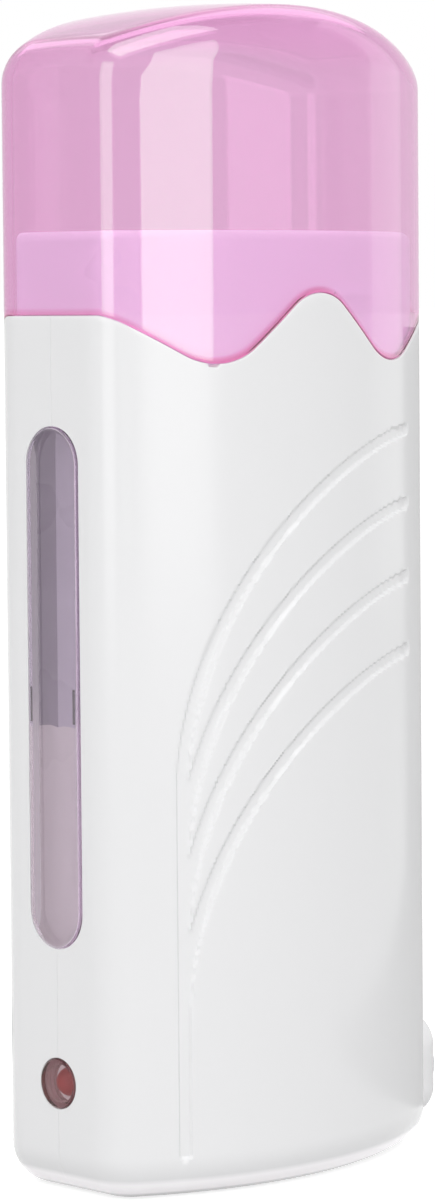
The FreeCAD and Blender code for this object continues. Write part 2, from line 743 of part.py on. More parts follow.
# a bead and a pip on each broad face, the rear pair turned half round from the front pair
beadZ = ("snapLevel - snapThickness/2", "snapLevel + snapThickness/2")
pipZ = ("pipLevel - pipHeight/2", "pipLevel + pipHeight/2")
frontY = ("-bodyDepth/2", "-chamberDepth/2 - sleeveWall")
rearY = ("chamberDepth/2 + sleeveWall", "bodyDepth/2")
beads = [
    block("snapBeadFront", ("snapStart", "snapStart + snapLength"), frontY, beadZ),
    block("snapBeadRear", ("-snapStart - snapLength", "-snapStart"), rearY, beadZ),
    block("pipFront", ("-pipPlace - pipWidth/2", "-pipPlace + pipWidth/2"), frontY, pipZ),
    block("pipRear", ("pipPlace - pipWidth/2", "pipPlace + pipWidth/2"), rearY, pipZ),
]
neckMarks = cut("neckMarks", common("beadsTrimmed", join("beadBlocks", *beads), beadRoom), skirtRoom)
ears = []
earHoles = []
for sign, side in ((-1, "Left"), (1, "Right")):
    inner, outer = "(chamberWidth/2 + sleeveWall/2)", f"(bodyWidth/2 - {neckInset} - earGap)"
    x = (f"-{outer}", f"-{inner}") if sign < 0 else (inner, outer)
    ears.append(block("ear" + side, x, ("-earThickness/2", "earThickness/2"),
                      ("upperScrewLevel - postDiameter/2", "skirtBottom + earLap")))
    earHoles.append(rod("earHole" + side, "Y", "screwDiameter/2 + screwGap", "earThickness + 2*past",
                        f"{sign}*upperScrewPlace", "-earThickness/2 - past", "upperScrewLevel"))
slotOutside = "(-chamberWidth/2 - sleeveWall - past)"
sightSlot = slotSolid("sightSlot", "slotWidth", "windowLength - 2*slotInset", "windowCentre", slotOutside,
                      "sleeveWall + 2*past")
# a short notch in the rear edge of the sight slot, just above the heating plates
slotNotch = block("slotNotch", (slotOutside, f"{slotOutside} + sleeveWall + 2*past"),
                  ("0", "slotWidth/2 + slotNotchReach"),
                  ("slotNotchLevel - slotNotchHeight/2", "slotNotchLevel + slotNotchHeight/2"))
plateHoles = block("plateHoles", ("-plateWidth/2", "plateWidth/2"), ("-bodyDepth", "bodyDepth"),
                   ("plateBottom", "plateBottom + plateHeight"))
sleeveSolid = join("sleeveSolid", cut("skirtHollow", skirt, skirtRoom), tube, neckMarks, *ears)
nodes["cartridge_sleeve"] = cut("cartridgeSleeve", sleeveSolid, chamber, sightSlot, slotNotch, plateHoles,
                                *earHoles)

# ---------------------------------------------------------------- heater packs

core = "chamberDepth/2 + sleeveWall"
padFace = f"({core} + plateFlange + padRise)"
plateInnerPlan = chamberSection("plateInnerPlan", "0", "sleeveBottom")
chamberPlug = extrude("plateInnerRoom", plateInnerPlan, "overallHeight")
plateCorePlan = chamberSection("plateCorePlan", "sleeveWall + seatGap + plateFlange/2", "sleeveBottom")
coreOuter = extrude("plateCoreOuter", plateCorePlan, "overallHeight")
coreBlock = block("plateCoreBlock", ("-plateWidth/2 + plateGap", "plateWidth/2 - plateGap"), frontReach,
                  ("plateBottom + plateGap", "plateBottom + plateHeight - plateGap"))
plateFlangePlan = chamberSection("plateFlangePlan", "sleeveWall + seatGap + plateFlange", "sleeveBottom")
flangeOuter = extrude("plateFlangeOuter", plateFlangePlan, "overallHeight")
plateSeatPlan = chamberSection("plateSeatPlan", "sleeveWall + seatGap", "sleeveBottom - past")
flangeInner = extrude("plateFlangeInner", plateSeatPlan, "overallHeight + 2*past")
flangeBlock = block("plateFlangeBlock", ("-plateWidth/2 - plateLap", "plateWidth/2 + plateLap"), frontReach,
                    ("plateBottom - plateLap", "plateBottom + plateHeight + plateLap"))
plateCore = common("plateCore", coreOuter, coreBlock)
plateRim = common("plateRim", cut("plateRimShell", flangeOuter, flangeInner), flangeBlock)
platePad = block("platePad", ("-padWidth/2", "padWidth/2"), (f"-{padFace}", "-chamberDepth/2 - sleeveWall/2"),
                 ("plateBottom + padInset", "plateBottom + plateHeight - padInset"))
plateFront = cut("plateFront", join("plateSolid", plateCore, plateRim, platePad), chamberPlug)
nodes["heating_plate_front"] = plateFront
nodes["heating_plate_rear"] = mirrorY("plateRear", plateFront)

layers = {
    "film": padFace,
    "inner": f"({padFace} + filmThickness)",
    "ceramic": f"({padFace} + filmThickness + electrodeThickness)",
    "outer": f"({padFace} + filmThickness + electrodeThickness + ceramicThickness)",
    "back": f"({padFace} + filmThickness + 2*electrodeThickness + ceramicThickness)",
    "spring": f"({padFace} + 2*filmThickness + 2*electrodeThickness + ceramicThickness)",
}
stripBottom = "(plateBottom + plateHeight/2 - stripHeight/2)"
stripTop = "(plateBottom + plateHeight/2 + stripHeight/2)"


def ceramics(name):
    tiles = []
    for tile, offset in (("Lower", "-ceramicGap/2 - ceramicHeight"), ("Upper", "+ceramicGap/2")):
        low = f"plateBottom + plateHeight/2 {offset}"
        tiles.append(block(name + tile, ("-ceramicWidth/2", "ceramicWidth/2"),
                           (f"-{layers['outer']}", f"-{layers['ceramic']}"), (low, f"{low} + ceramicHeight")))
    pair = doc.addObject("Part::Compound", name)
    pair.Links = tiles
    return pair


def electrode(name, face, tabPlace):
    """A thin strip whose tab reaches down into the wiring bay."""
    near, far = "-ceramicWidth/2", "ceramicWidth/2"
    left, right = f"{tabPlace} - tabWidth/2", f"{tabPlace} + tabWidth/2"
    points = [(near, stripTop), (near, stripBottom), (left, stripBottom), (left, "tabBottom"),
              (right, "tabBottom"), (right, stripBottom), (far, stripBottom), (far, stripTop)]
    return padded(name, "XZ", points, "electrodeThickness", y=f"-{face}")


def film(name):
    """A flat sleeve of film round the strips and ceramics, open at both ends."""
    half = "(ceramicWidth/2 + filmGap)"
    low, high = f"{stripBottom} - filmOverhang", f"{stripTop} + filmOverhang"
    outer = block(name + "Outer", (f"-{half} - filmThickness", f"{half} + filmThickness"),
                  (f"-{layers['spring']}", f"-{layers['film']}"), (low, high))
    inner = block(name + "Inner", (f"-{half}", half), (f"-{layers['back']}", f"-{layers['inner']}"),
                  (f"{low} - past", f"{high} + past"))
    return cut(name, outer, inner)


def spring(name):
    """A leaf that lies on the film and whose ends lift towards the case wall."""
    near = f"-{layers['spring']}"
    far = f"({near} - springThickness)"
    lift = "springLift"
    lower, upper = f"{stripBottom} + springBend", f"{stripTop} - springBend"
    points = [(near, lower), (f"{near} - {lift}", stripBottom), (f"{far} - {lift}", stripBottom),
              (far, lower), (far, upper), (f"{far} - {lift}", stripTop), (f"{near} - {lift}", stripTop),
              (near, upper)]
    return padded(name, "YZ", points, "springWidth", midplane=True)


packs = {
    "ptc_ceramics": ceramics("ceramicsFront"),
    "inner_electrode": electrode("innerElectrodeFront", layers["inner"], "tabPlace"),
    "outer_electrode": electrode("outerElectrodeFront", layers["outer"], "-tabPlace"),
    "insulating_film": film("filmFront"),
    "pressure_spring": spring("springFront"),
}
for name, front in packs.items():
    nodes[name + "_front"] = front
    nodes[name + "_rear"] = mirrorY(front.Name.replace("Front", "Rear"), front)

# ---------------------------------------------------------------- sight window and pilot lamp

windowFace = "(bodyWidth/2 + windowProud)"
windowBlank = slotSolid("windowBlank", "windowWidth", "windowLength", "windowCentre", f"-{windowFace}",
                        "windowProud + shellWall + seatGap + lipThickness/2")
windowPlug = rounded("windowPlug", windowBlank, "windowBevel", lambda box: box.XMax < amount("-bodyWidth/2"))
windowFlange = slotSolid("windowFlange", "windowWidth + 2*windowLip", "windowLength + 2*windowLip",
                         "windowCentre", "-bodyWidth/2 + shellWall + seatGap", "lipThickness")
flangeRoom = extrude("flangeRoom", caseSection("flangeRoomPlan", "shellWall + seatGap"), "overallHeight")
windowRim = common("windowRim", windowFlange, flangeRoom)
nodes["sight_window"] = join("sightWindow", windowPlug, windowRim)

lipStart = "(shellWall + lampProud + seatGap)"
lipEnd = f"({lipStart} + lampLipThickness)"
lipRadius = "(lampDiameter/2 + lampLip)"
lampBore = "(lampDiameter/2 - lampWall)"
# a shallow cup whose flat face covers the lamp
nodes["indicator_lens"] = turned("indicatorLens", [
    ("0", "0"), ("lampDiameter/2", "0"), ("lampDiameter/2", lipStart), (lipRadius, lipStart),
    (lipRadius, lipEnd), (lampBore, lipEnd), (lampBore, "lampFace"), ("0", "lampFace")],
    "X", "-bodyWidth/2 - lampProud", "0", "lampLevel")

ledX = "(-ledTip)"
rimStart = "ledLength - ledRimThickness"
led = turned("indicatorLed", [
    ("0", "0"), ("ledDiameter/2", "0"), ("ledDiameter/2", rimStart), ("ledRimDiameter/2", rimStart),
    ("ledRimDiameter/2", "ledLength"), ("0", "ledLength")], "X", ledX, "0", "lampLevel")
doc.recompute()
dome = led.newObject("PartDesign::Fillet", "ledDome")
spin = led.Group[1]
tipEdges = [f"Edge{n}" for n, edge in enumerate(spin.Shape.Edges, start=1)
            if flat(edge.BoundBox, 0) and edge.BoundBox.XMax > amount("ledTipFlat") and edge.Closed]
dome.Base = (spin, tipEdges)
dome.setExpression("Radius", rule("(ledDiameter - ledTipFlat)/2"))
led.Tip = dome
ledLegs = [lead("ledLeg" + side, "legWidth", [(f"{ledX} + ledLength - legWidth/2", y, "lampLevel"),
                                              (f"{boardBack} + boardThickness + legWidth", y, "lampLevel")])
           for side, y in (("Front", "-ledPitch/2"), ("Rear", "ledPitch/2"))]
nodes["indicator_led"] = join("ledWithLegs", led, *ledLegs)

board = doc.addObject("PartDesign::Body", "ledBoard")
boardOutline = bodySketch(board, "YZ", "boardOutline")
boardBottom, boardTop = "lampLevel - boardHeight/2", "lampLevel + boardHeight/2"
outline(boardOutline, [("-boardWidth/2", boardBottom), ("boardWidth/2", boardBottom), ("boardWidth/2", boardTop),
                       ("-boardWidth/2", boardTop)])
boardPad = board.newObject("PartDesign::Pad", "boardPad")
boardPad.Profile = boardOutline
boardPad.setExpression("Length", rule("boardThickness"))
place(board, x=boardBack)
doc.recompute()
boardHoles = bodySketch(board, "YZ", "boardHoles")
resistorLevel, diodeLevel = "lampLevel - resistorDrop", "lampLevel + diodeRise"
holeRadius = "legWidth/2 + legGap"
holeSpots = [("-ledPitch/2", "lampLevel"), ("ledPitch/2", "lampLevel")]
for level in (resistorLevel, diodeLevel):
    holeSpots += [("-partPitch/2", level), ("partPitch/2", level)]
for y, z in holeSpots:
    circle = Part.Circle(FreeCAD.Vector(amount(y), amount(z), 0), FreeCAD.Vector(0, 0, 1), amount(holeRadius))
    hole = boardHoles.addGeometry(circle, False)
    drive(boardHoles, "Radius", holeRadius, hole)
    pin(boardHoles, hole, 3, y, z)
drill = board.newObject("PartDesign::Pocket", "boardDrill")
drill.Profile = boardHoles
drill.Type = "ThroughAll"
drill.Midplane = True
doc.recompute()
if drill.Shape.Volume >= boardPad.Shape.Volume:
    raise RuntimeError("the board's holes were not cut")
nodes["led_board"] = board

for name, level in (("resistor", resistorLevel), ("diode", diodeLevel)):
    x = f"({boardBack} + boardThickness + partStand)"
    barrel = rod(name + "Barrel", "Y", f"{name}Diameter/2", f"{name}Length", x, f"-{name}Length/2", level)
    ends = [(boardBack, "-partPitch/2", level), (x, "-partPitch/2", level), (x, "partPitch/2", level),
            (boardBack, "partPitch/2", level)]
    wire = lead(name + "Wire", "legWidth", ends, "partBend")
    nodes["lamp_" + name] = join(name, barrel, wire)

# ---------------------------------------------------------------- mains inlet

bossFace = "(bodyWidth/2 + bossReach)"
socketBackX = f"({bossFace} - recessDepth - socketBack)"
housing = slotSolid("socketHousing", socketHeight, socketWidth, "bossLevel", socketBackX,
                    "recessDepth + socketBack - socketInset", along=False)
recess = slotSolid("socketRecess", "recessHeight", "recessWidth", "bossLevel", f"{bossFace} - recessDepth",
                   "recessDepth + past", along=False)
flangeFace = "(bodyWidth/2 - shellWall - flangeGap)"
flangeHalfY, flangeHalfZ = f"({socketWidth}/2 + flangeWall)", f"({socketHeight}/2 + flangeWall)"
flangeBlank = block("socketFlangeBlank", (f"{flangeFace} - flangeThickness", flangeFace),
                    (f"-{flangeHalfY}", flangeHalfY),
                    (f"bossLevel - {flangeHalfZ}", f"bossLevel + {flangeHalfZ}"))
flange = common("socketFlange", flangeBlank, flangeRoom)
pinHoles = [rod("pinHole" + side, "X", "pinNeckDiameter/2 + fitGap", "socketBack + 2*past",
                f"{socketBackX} - past", f"{sign}*pinPitch/2", "bossLevel")
            for sign, side in ((-1, "Front"), (1, "Rear"))]
nodes["inlet_socket"] = cut("inletSocket", join("socketSolid", housing, flange), recess, *pinHoles)

for sign, name in ((-1, "live"), (1, "neutral")):
    # from the tail forward: collar behind the wall, neck through it, then the contact and its point
    collarStart, collarEnd = "-fitGap - pinCollarLength", "-fitGap"
    neckEnd, pinEnd = "socketBack + pinNeckLength", "socketBack + pinReach"
    nodes["inlet_pin_" + name] = turned(name + "Pin", [
        ("0", "-tailLength"), ("tailDiameter/2", "-tailLength"), ("tailDiameter/2", collarStart),
        ("pinDiameter/2 + pinCollar", collarStart), ("pinDiameter/2 + pinCollar", collarEnd),
        ("pinNeckDiameter/2", collarEnd), ("pinNeckDiameter/2", neckEnd), ("pinDiameter/2", neckEnd),
        ("pinDiameter/2", f"{pinEnd} - pinPoint"), ("pinDiameter/2 - pinPoint", pinEnd), ("0", pinEnd)],
        "X", socketBackX, f"{sign}*pinPitch/2", "bossLevel")

# ---------------------------------------------------------------- wiring

fuseY, fuseZ, fuseEnd = "-fuseSetback", "fuseLevel", "(fuseLength/2 + fuseLegLength)"
nodes["thermal_fuse"] = turned("thermalFuse", [
    ("0", f"-{fuseEnd}"), ("fuseLegDiameter/2", f"-{fuseEnd}"), ("fuseLegDiameter/2", "-fuseLength/2"),
    ("fuseDiameter/2", "-fuseLength/2"), ("fuseDiameter/2", "fuseLength/2 - fuseSeal"),
    ("fuseDiameter/2 - fuseSealStep", "fuseLength/2"), ("fuseLegDiameter/2", "fuseLength/2"),
    ("fuseLegDiameter/2", fuseEnd), ("0", fuseEnd)], "X", "0", fuseY, fuseZ)

tailEnd = f"({socketBackX} - tailLength)"
innerTab = f"({layers['inner']} + electrodeThickness/2)"
outerTab = f"({layers['outer']} - electrodeThickness)"
boardFace = f"({boardBack} + boardThickness)"
lampTap = "lampLevel - 6"
bayLow = "floorWall + bayRise"
liveTap, neutralTap = "(-tabPlace)", "tabPlace"
liveEnd = (tailEnd, "-pinPitch/2", "bossLevel")
neutralEnd = (tailEnd, "pinPitch/2", "bossLevel")
# the points between a lead's two ends are chosen by hand
routes = {
    "lead_live": [
        liveEnd, (f"{tailEnd} - 2.7", "-pinPitch/2", "bossLevel"), (f"{tailEnd} - 2.7", "-5", "19"),
        (f"{fuseEnd} + 3", fuseY, fuseZ), (fuseEnd, fuseY, fuseZ)],
    "lead_fused": [
        (f"-{fuseEnd}", fuseY, fuseZ), (f"-{fuseEnd} - 1.6", fuseY, fuseZ), (f"-{fuseEnd} - 1.6", "-14", "18"),
        (liveTap, "-17", "15"), (liveTap, f"-{outerTab}", "16.5"), (liveTap, f"-{outerTab}", "tabBottom")],
    "lead_live_link": [
        (f"{liveTap} + tabStep", f"-{outerTab}", "tabBottom"), (f"{liveTap} + tabStep", f"-{outerTab}", bayLow),
        (f"{liveTap} + tabStep", outerTab, bayLow), (f"{liveTap} + tabStep", outerTab, "tabBottom")],
    "lead_neutral": [
        neutralEnd, (f"{tailEnd} - 2.5", "pinPitch/2", "bossLevel"), (f"{tailEnd} - 2.5", "11", "8.6"),
        ("9", "17", "8.6"), (f"{neutralTap} + tabStep", innerTab, "12"),
        (f"{neutralTap} + tabStep", innerTab, "tabBottom")],
    "lead_neutral_link": [
        (neutralTap, innerTab, "tabBottom"), (neutralTap, innerTab, bayLow),
        (neutralTap, f"-{innerTab}", bayLow), (neutralTap, f"-{innerTab}", "tabBottom")],
    "lead_lamp_live": [
        (f"{liveTap} - tabStep", f"-{outerTab}", "tabBottom"), (f"{liveTap} - tabStep", f"-{outerTab}", "10"),
        ("-19", "-8", "8"), (f"{boardFace} + 3", "-3", lampTap), (boardFace, "-3", lampTap)],
    "lead_lamp_neutral": [
        (f"{neutralTap} - tabStep", innerTab, "tabBottom"), (f"{neutralTap} - tabStep", innerTab, "10"),
        ("-19", "8", "8"), (f"{boardFace} + 3", "3", lampTap), (boardFace, "3", lampTap)],
}
for name, points in routes.items():
    nodes[name] = lead(name, "leadDiameter", points)

# ---------------------------------------------------------------- case screws

screws = []
for spot, x, z, start in screwSpots:
    screws.append(turned("screw" + spot, [
        ("0", "-screwLength"), ("screwDiameter/2 - screwPoint", "-screwLength"),
        ("screwDiameter/2", "-screwLength + screwTaper"), ("screwDiameter/2", "0"), ("headDiameter/2", "0"),
        ("headDiameter/2", "headHeight - headBevel"), ("headDiameter/2 - headBevel", "headHeight"),
        ("driveDiameter/2", "headHeight"), ("driveDiameter/2", "headHeight - driveDepth"),
        ("0", "headHeight - driveDepth")], "Y", x, "screwSeat", z))
screwGroup = doc.addObject("Part::Compound", "caseScrews")
screwGroup.Links = screws
nodes["case_screws"] = screwGroup

# ---------------------------------------------------------------- checks and files

doc.recompute()
for item in doc.Objects:
    if "Invalid" in item.State or "Error" in item.State:
        raise RuntimeError(f"{item.Name} failed: {item.State}")
os.makedirs("parts", exist_ok=True)
for name, item in nodes.items():
    item.Label = name
    if item.Shape.isNull() or not item.Shape.isValid() or not item.Shape.Solids:
        raise RuntimeError(f"{name} has no sound solid")
    item.Shape.exportStep(f"parts/{name}.step")
    box = item.Shape.optimalBoundingBox(False, False)
    print(f"{name:24s} {len(item.Shape.Solids)} solid(s) {item.Shape.Volume:10.1f} mm3"
          f"  x {box.XMin:7.2f} {box.XMax:7.2f}  y {box.YMin:7.2f} {box.YMax:7.2f}"
          f"  z {box.ZMin:7.2f} {box.ZMax:7.2f}")
print("nodes:", len(nodes))
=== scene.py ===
import math

import bmesh
import bpy
import numpy as np
from mathutils import Matrix, Vector


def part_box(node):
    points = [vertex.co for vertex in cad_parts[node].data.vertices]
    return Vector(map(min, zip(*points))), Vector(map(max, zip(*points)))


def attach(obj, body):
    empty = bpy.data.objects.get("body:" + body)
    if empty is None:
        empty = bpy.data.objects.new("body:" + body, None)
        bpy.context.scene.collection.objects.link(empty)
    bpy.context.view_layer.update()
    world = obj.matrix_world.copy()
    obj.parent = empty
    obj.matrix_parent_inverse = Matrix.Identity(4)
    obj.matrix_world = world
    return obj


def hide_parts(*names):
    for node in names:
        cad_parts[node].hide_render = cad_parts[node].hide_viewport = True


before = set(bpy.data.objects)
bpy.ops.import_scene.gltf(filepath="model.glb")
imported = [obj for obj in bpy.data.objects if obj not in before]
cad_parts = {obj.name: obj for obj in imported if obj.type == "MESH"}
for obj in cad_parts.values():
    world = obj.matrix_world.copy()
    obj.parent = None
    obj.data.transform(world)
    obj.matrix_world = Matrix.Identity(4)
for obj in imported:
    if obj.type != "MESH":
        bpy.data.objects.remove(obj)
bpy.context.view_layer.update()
mm = 0.001
coverHigh = np.array(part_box("cover")[1]) / mm
shellHigh = np.array(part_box("front_shell")[1]) / mm

# Roll-on wax heater. X runs along the broad faces, -Y is the front, the sight window is on -X.
# Shapes are worked out in millimetres and turned into metres where their mesh is made.

meshRules = {"weld": 2e-6, "sliver": 1e-6, "sharp": 32, "cadSharp": 30}  # metres and degrees


def toLinear(code):
    # an sRGB hex code as linear light: a straight line near black, else a power of 2.4
    value = np.array([int(code[i:i + 2], 16) for i in (1, 3, 5)]) / 255
    linear = np.where(value <= 0.04045, value / 12.92, ((value + 0.055) / 1.055) ** 2.4)
    return (*linear.tolist(), 1.0)


def addNode(tree, kind, settings=None, links=None):
    # settings: socket (name or number) or attribute to value; links: socket to another node's output
    node = tree.nodes.new(kind)
    for key, value in (settings or {}).items():
        if isinstance(key, int) or key in node.inputs:
            node.inputs[key].default_value = value
        else:
            setattr(node, key, value)
    for key, source in (links or {}).items():
        tree.links.new(source, node.inputs[key])
    return node


def newMaterial(name):
    # an empty material and its node tree
    made = bpy.data.materials.new(name)
    made.use_nodes = True
    made.node_tree.nodes.clear()
    return made, made.node_tree


def gridFaces(index):
    # the four corners of every cell of a table of vertex numbers
    cells = [index[:-1, :-1], index[:-1, 1:], index[1:, 1:], index[1:, :-1]]
    return np.stack(cells, -1).reshape(-1, 4).tolist()


def closeColumns(index):
    # the first column again at the end, so a table of rows closes on itself
    return np.concatenate([index, index[:, :1]], 1)


def closedMesh(name, points, faces):
    # points in millimetres and faces as one closed mesh: doubles merged, faces turned outwards
    mesh = bpy.data.meshes.new(name)
    mesh.from_pydata((np.asarray(points).reshape(-1, 3) * mm).tolist(), [], faces)
    work = bmesh.new()
    work.from_mesh(mesh)
    bmesh.ops.remove_doubles(work, verts=work.verts, dist=meshRules["weld"])
    bmesh.ops.dissolve_degenerate(work, edges=work.edges, dist=meshRules["sliver"])
    bmesh.ops.recalc_face_normals(work, faces=work.faces)
    work.to_mesh(mesh)
    work.free()
    return mesh


def smoothMesh(mesh, sharpAngle):
    # smooth shading, but for the edges that turn by more than the angle
    mesh.shade_smooth()
    mesh.set_sharp_from_angle(angle=math.radians(sharpAngle))


def addObject(name, data):
    # a new object in the scene
    made = bpy.data.objects.new(name, data)
    bpy.context.scene.collection.objects.link(made)
    return made


def makePiece(name, points, faces, material, body, node, sharpAngle=meshRules["sharp"]):
    # a finished piece that rides on its body in place of its node
    mesh = closedMesh(name, points, faces)
    smoothMesh(mesh, sharpAngle)
    mesh.materials.append(material)
    piece = addObject(name, mesh)
    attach(piece, body)
    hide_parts(node)
    return piece


def pointPlaces(piece):
    # X, Y and Z of every point of a piece, in millimetres
    place = np.zeros(len(piece.data.vertices) * 3)
    piece.data.vertices.foreach_get("co", place)
    return place.reshape(-1, 3).T / mm


def writeValues(piece, name, values):
    # one number for each point, which the piece's material reads by this name
    piece.data.attributes.new(name, "FLOAT", "POINT").data.foreach_set("value", values.astype(float))


def makePlan(width, depth, bow, corner):
    # two bowed faces (radius bow) and two flat sides joined by corners. Stops are distances along the
    # front half, from the middle of the -X side round the front to the middle of the +X side
    cornerX = width / 2 - corner
    away = bow - depth / 2
    cornerY = math.sqrt((bow - corner) ** 2 - cornerX ** 2) - away
    lean = math.atan2(cornerX, cornerY + away)
    turn = math.pi / 2 - lean
    stops = np.cumsum([0, cornerY, turn * corner, 2 * lean * bow, turn * corner, cornerY])
    return {
        "stops": stops, "length": stops[-1], "lean": lean,
        "angles": np.array([180, 180, 270 - math.degrees(lean), 270 + math.degrees(lean), 360, 360]),
        "radii": np.array([0, corner, bow, corner, 0]),
        "centreX": np.array([-width / 2, -cornerX, 0, cornerX, width / 2]),
        "centreY": np.array([0, -cornerY, away, -cornerY, 0]),
    }


def planAt(plan, u, inset=0.0):
    # the point at distance u, moved in along its normal, which turns evenly along each arc
    u = np.asarray(u, float)
    angle = np.radians(np.interp(u, plan["stops"], plan["angles"]))
    part = np.clip(np.searchsorted(plan["stops"][1:-1], u, side="left"), 0, 4)
    flatY = np.where(part == 0, -u, np.where(part == 4, u - plan["length"], 0))
    reach = plan["radii"][part] - inset
    x = plan["centreX"][part] + reach * np.cos(angle)
    y = plan["centreY"][part] + flatY + reach * np.sin(angle)
    return np.stack([x, y], -1)


def evenSteps(stations, counts):
    # distances along the plan, evenly spread from each station to the next
    parts = [np.linspace(low, high, count, endpoint=False)
             for low, high, count in zip(stations[:-1], stations[1:], counts)]
    return np.append(np.concatenate(parts), stations[-1])


def wholeLoop(half):
    # the rear half mirrors the front one, so a half table of points becomes a closed one
    rear = half[:, -2:0:-1].copy()
    rear[..., 1] *= -1
    return np.concatenate([half, rear], 1)


caseSize = {
    "width": 2 * coverHigh[0], "depth": 2 * coverHigh[1], "height": coverHigh[2],
    "bow": 61.0, "corner": 8.2, "wall": 2.0, "floor": 2.2, "baseRounding": 6.5, "seam": 0.04,
}
casePlan = makePlan(caseSize["width"], caseSize["depth"], caseSize["bow"], caseSize["corner"])

rimSize = {
    "side": 137.0, "trough": 129.4, "crest": 140.2, "troughPlace": 19.5,
    "troughRadius": 10.2, "crestRadius": 8.2, "flat": 0.5, "coverGap": 0.07,
    "notchPlace": -20.2, "notchWidth": 1.6, "notchDepth": 0.5,
}


def rimHeight(x, notch=False):
    # the wavy line: an arc at the crest, an arc in each trough and straight runs tangent to them
    s = rimSize
    across = np.abs(x)
    troughZ = s["trough"] + s["troughRadius"]
    crestZ = s["crest"] - s["crestRadius"]
    sideX = caseSize["width"] / 2 - s["flat"]
    apart = math.hypot(s["troughPlace"], troughZ - crestZ)
    inner = (math.asin((s["troughRadius"] + s["crestRadius"]) / apart)
             - math.atan2(troughZ - crestZ, s["troughPlace"]))
    away = math.hypot(sideX - s["troughPlace"], troughZ - s["side"])
    outer = math.asin(s["troughRadius"] / away) - math.atan2(troughZ - s["side"], sideX - s["troughPlace"])
    crestEnd = s["crestRadius"] * math.sin(inner)
    troughStart = s["troughPlace"] - s["troughRadius"] * math.sin(inner)
    troughEnd = s["troughPlace"] + s["troughRadius"] * math.sin(outer)
    crest = crestZ + np.sqrt(np.maximum(s["crestRadius"] ** 2 - across ** 2, 0))
    trough = troughZ - np.sqrt(np.maximum(s["troughRadius"] ** 2 - (across - s["troughPlace"]) ** 2, 0))
    fall = troughZ - s["troughRadius"] * math.cos(inner) + (troughStart - across) * math.tan(inner)
    rise = troughZ - s["troughRadius"] * math.cos(outer) + (across - troughEnd) * math.tan(outer)
    height = np.select([across < crestEnd, across < troughStart, across < troughEnd, across < sideX],
                       [crest, fall, trough, rise], s["side"])
    if notch:
        height = height - s["notchDepth"] * (np.abs(x - s["notchPlace"]) < s["notchWidth"] / 2)
    return height


def roundedLoop(halfWidth, halfHeight, radius, inset=0.0, steps=12, half=False):
    # a rectangle with round corners, from the middle of its lower side round -Y and up. The half
    # stops at the seam; the whole mirrors it
    corner = np.linspace(0, math.pi / 2, steps + 1)
    reach = max(radius - inset, 0.0)
    y = np.concatenate([-(halfWidth - radius) - reach * np.sin(corner),
                        -(halfWidth - radius) - reach * np.cos(corner)])
    z = np.concatenate([-(halfHeight - radius) - reach * np.cos(corner),
                        halfHeight - radius + reach * np.sin(corner)])
    loop = np.stack([y, z], -1)
    if half:
        seam = -caseSize["seam"] / 2
        ends = np.array([[seam, -halfHeight + inset], [seam, halfHeight - inset]])
        return np.concatenate([ends[:1], loop, ends[1:]])
    mirror = loop[::-1] * (-1, 1)
    return np.concatenate([loop, mirror])


def quarter(start, end, steps, bulge=True):
    # an arc of a quarter turn between two points of a profile, leaving the first along its first axis
    turn = np.linspace(0, math.pi / 2, steps + 1)
    first, second = (np.sin(turn), 1 - np.cos(turn)) if bulge else (1 - np.cos(turn), np.sin(turn))
    return np.stack([start[0] + (end[0] - start[0]) * first, start[1] + (end[1] - start[1]) * second], -1)


def loopRows(profile, halfWidth, halfHeight, radius, centreZ, **more):
    # the loop carried along a profile of (inset, X)
    rows = []
    for inset, x in profile:
        loop = roundedLoop(halfWidth, halfHeight, radius, inset, **more)
        rows.append(np.column_stack([np.full(len(loop), x), loop[:, 0], loop[:, 1] + centreZ]))
    return np.array(rows)


def turnedRows(profile, centreZ, steps=72):
    # a profile of (radius, X) turned about an axis along X
    angle = np.linspace(0, 2 * math.pi, steps, endpoint=False)
    profile = np.asarray(profile, float)
    radius, x = profile[:, :1], profile[:, 1:]
    return np.stack([x + 0 * angle, radius * np.cos(angle), centreZ + radius * np.sin(angle)], -1)


def tableIndex(rows, start=0):
    # vertex numbers of a table of points, row by row
    return start + np.arange(rows.shape[0] * rows.shape[1]).reshape(rows.shape[:2])


# real sizes of surface marks, in millimetres, and how far scratches spread a metal's roughness
surfaceMarks = {
    "meltPatch": 28.0, "clearWave": 9.0, "peelHeight": 0.1, "scratchWidth": 0.4, "scratchLength": 12.0,
    "scratchHeight": 0.05, "scratchSpread": (0.8, 1.3),
}
rayLimits = {"glossy": 2.5, "all": 7.5}  # bounces after which a ray in clear plastic goes straight on


def mouldedPlastic(name, code, roughness, ior, peel=0.02, peelScale=1.6, mottle=0.03):
    # an injection-moulded surface: the polished mould leaves a gloss with a faint long-wave peel, and
    # the flow of the melt leaves patches that differ slightly in gloss
    m = surfaceMarks
    made, tree = newMaterial(name)
    where = addNode(tree, "ShaderNodeTexCoord")
    flow = addNode(tree, "ShaderNodeTexNoise", {"Scale": 1 / (m["meltPatch"] * mm), "Detail": 3.0},
                   {"Vector": where.outputs["Object"]})
    gloss = addNode(tree, "ShaderNodeMapRange",
                    {"To Min": roughness - mottle, "To Max": roughness + mottle},
                    {"Value": flow.outputs["Fac"]})
    grain = addNode(tree, "ShaderNodeTexNoise", {"Scale": 1 / (peelScale * mm), "Detail": 2.0},
                    {"Vector": where.outputs["Object"]})
    bump = addNode(tree, "ShaderNodeBump", {"Strength": peel, "Distance": m["peelHeight"] * mm},
                   {"Height": grain.outputs["Fac"]})
    shader = addNode(tree, "ShaderNodeBsdfPrincipled", {"Base Color": toLinear(code), "IOR": ior},
                     {"Roughness": gloss.outputs["Result"], "Normal": bump.outputs["Normal"]})
    addNode(tree, "ShaderNodeOutputMaterial", None, {"Surface": shader.outputs["BSDF"]})
    return made


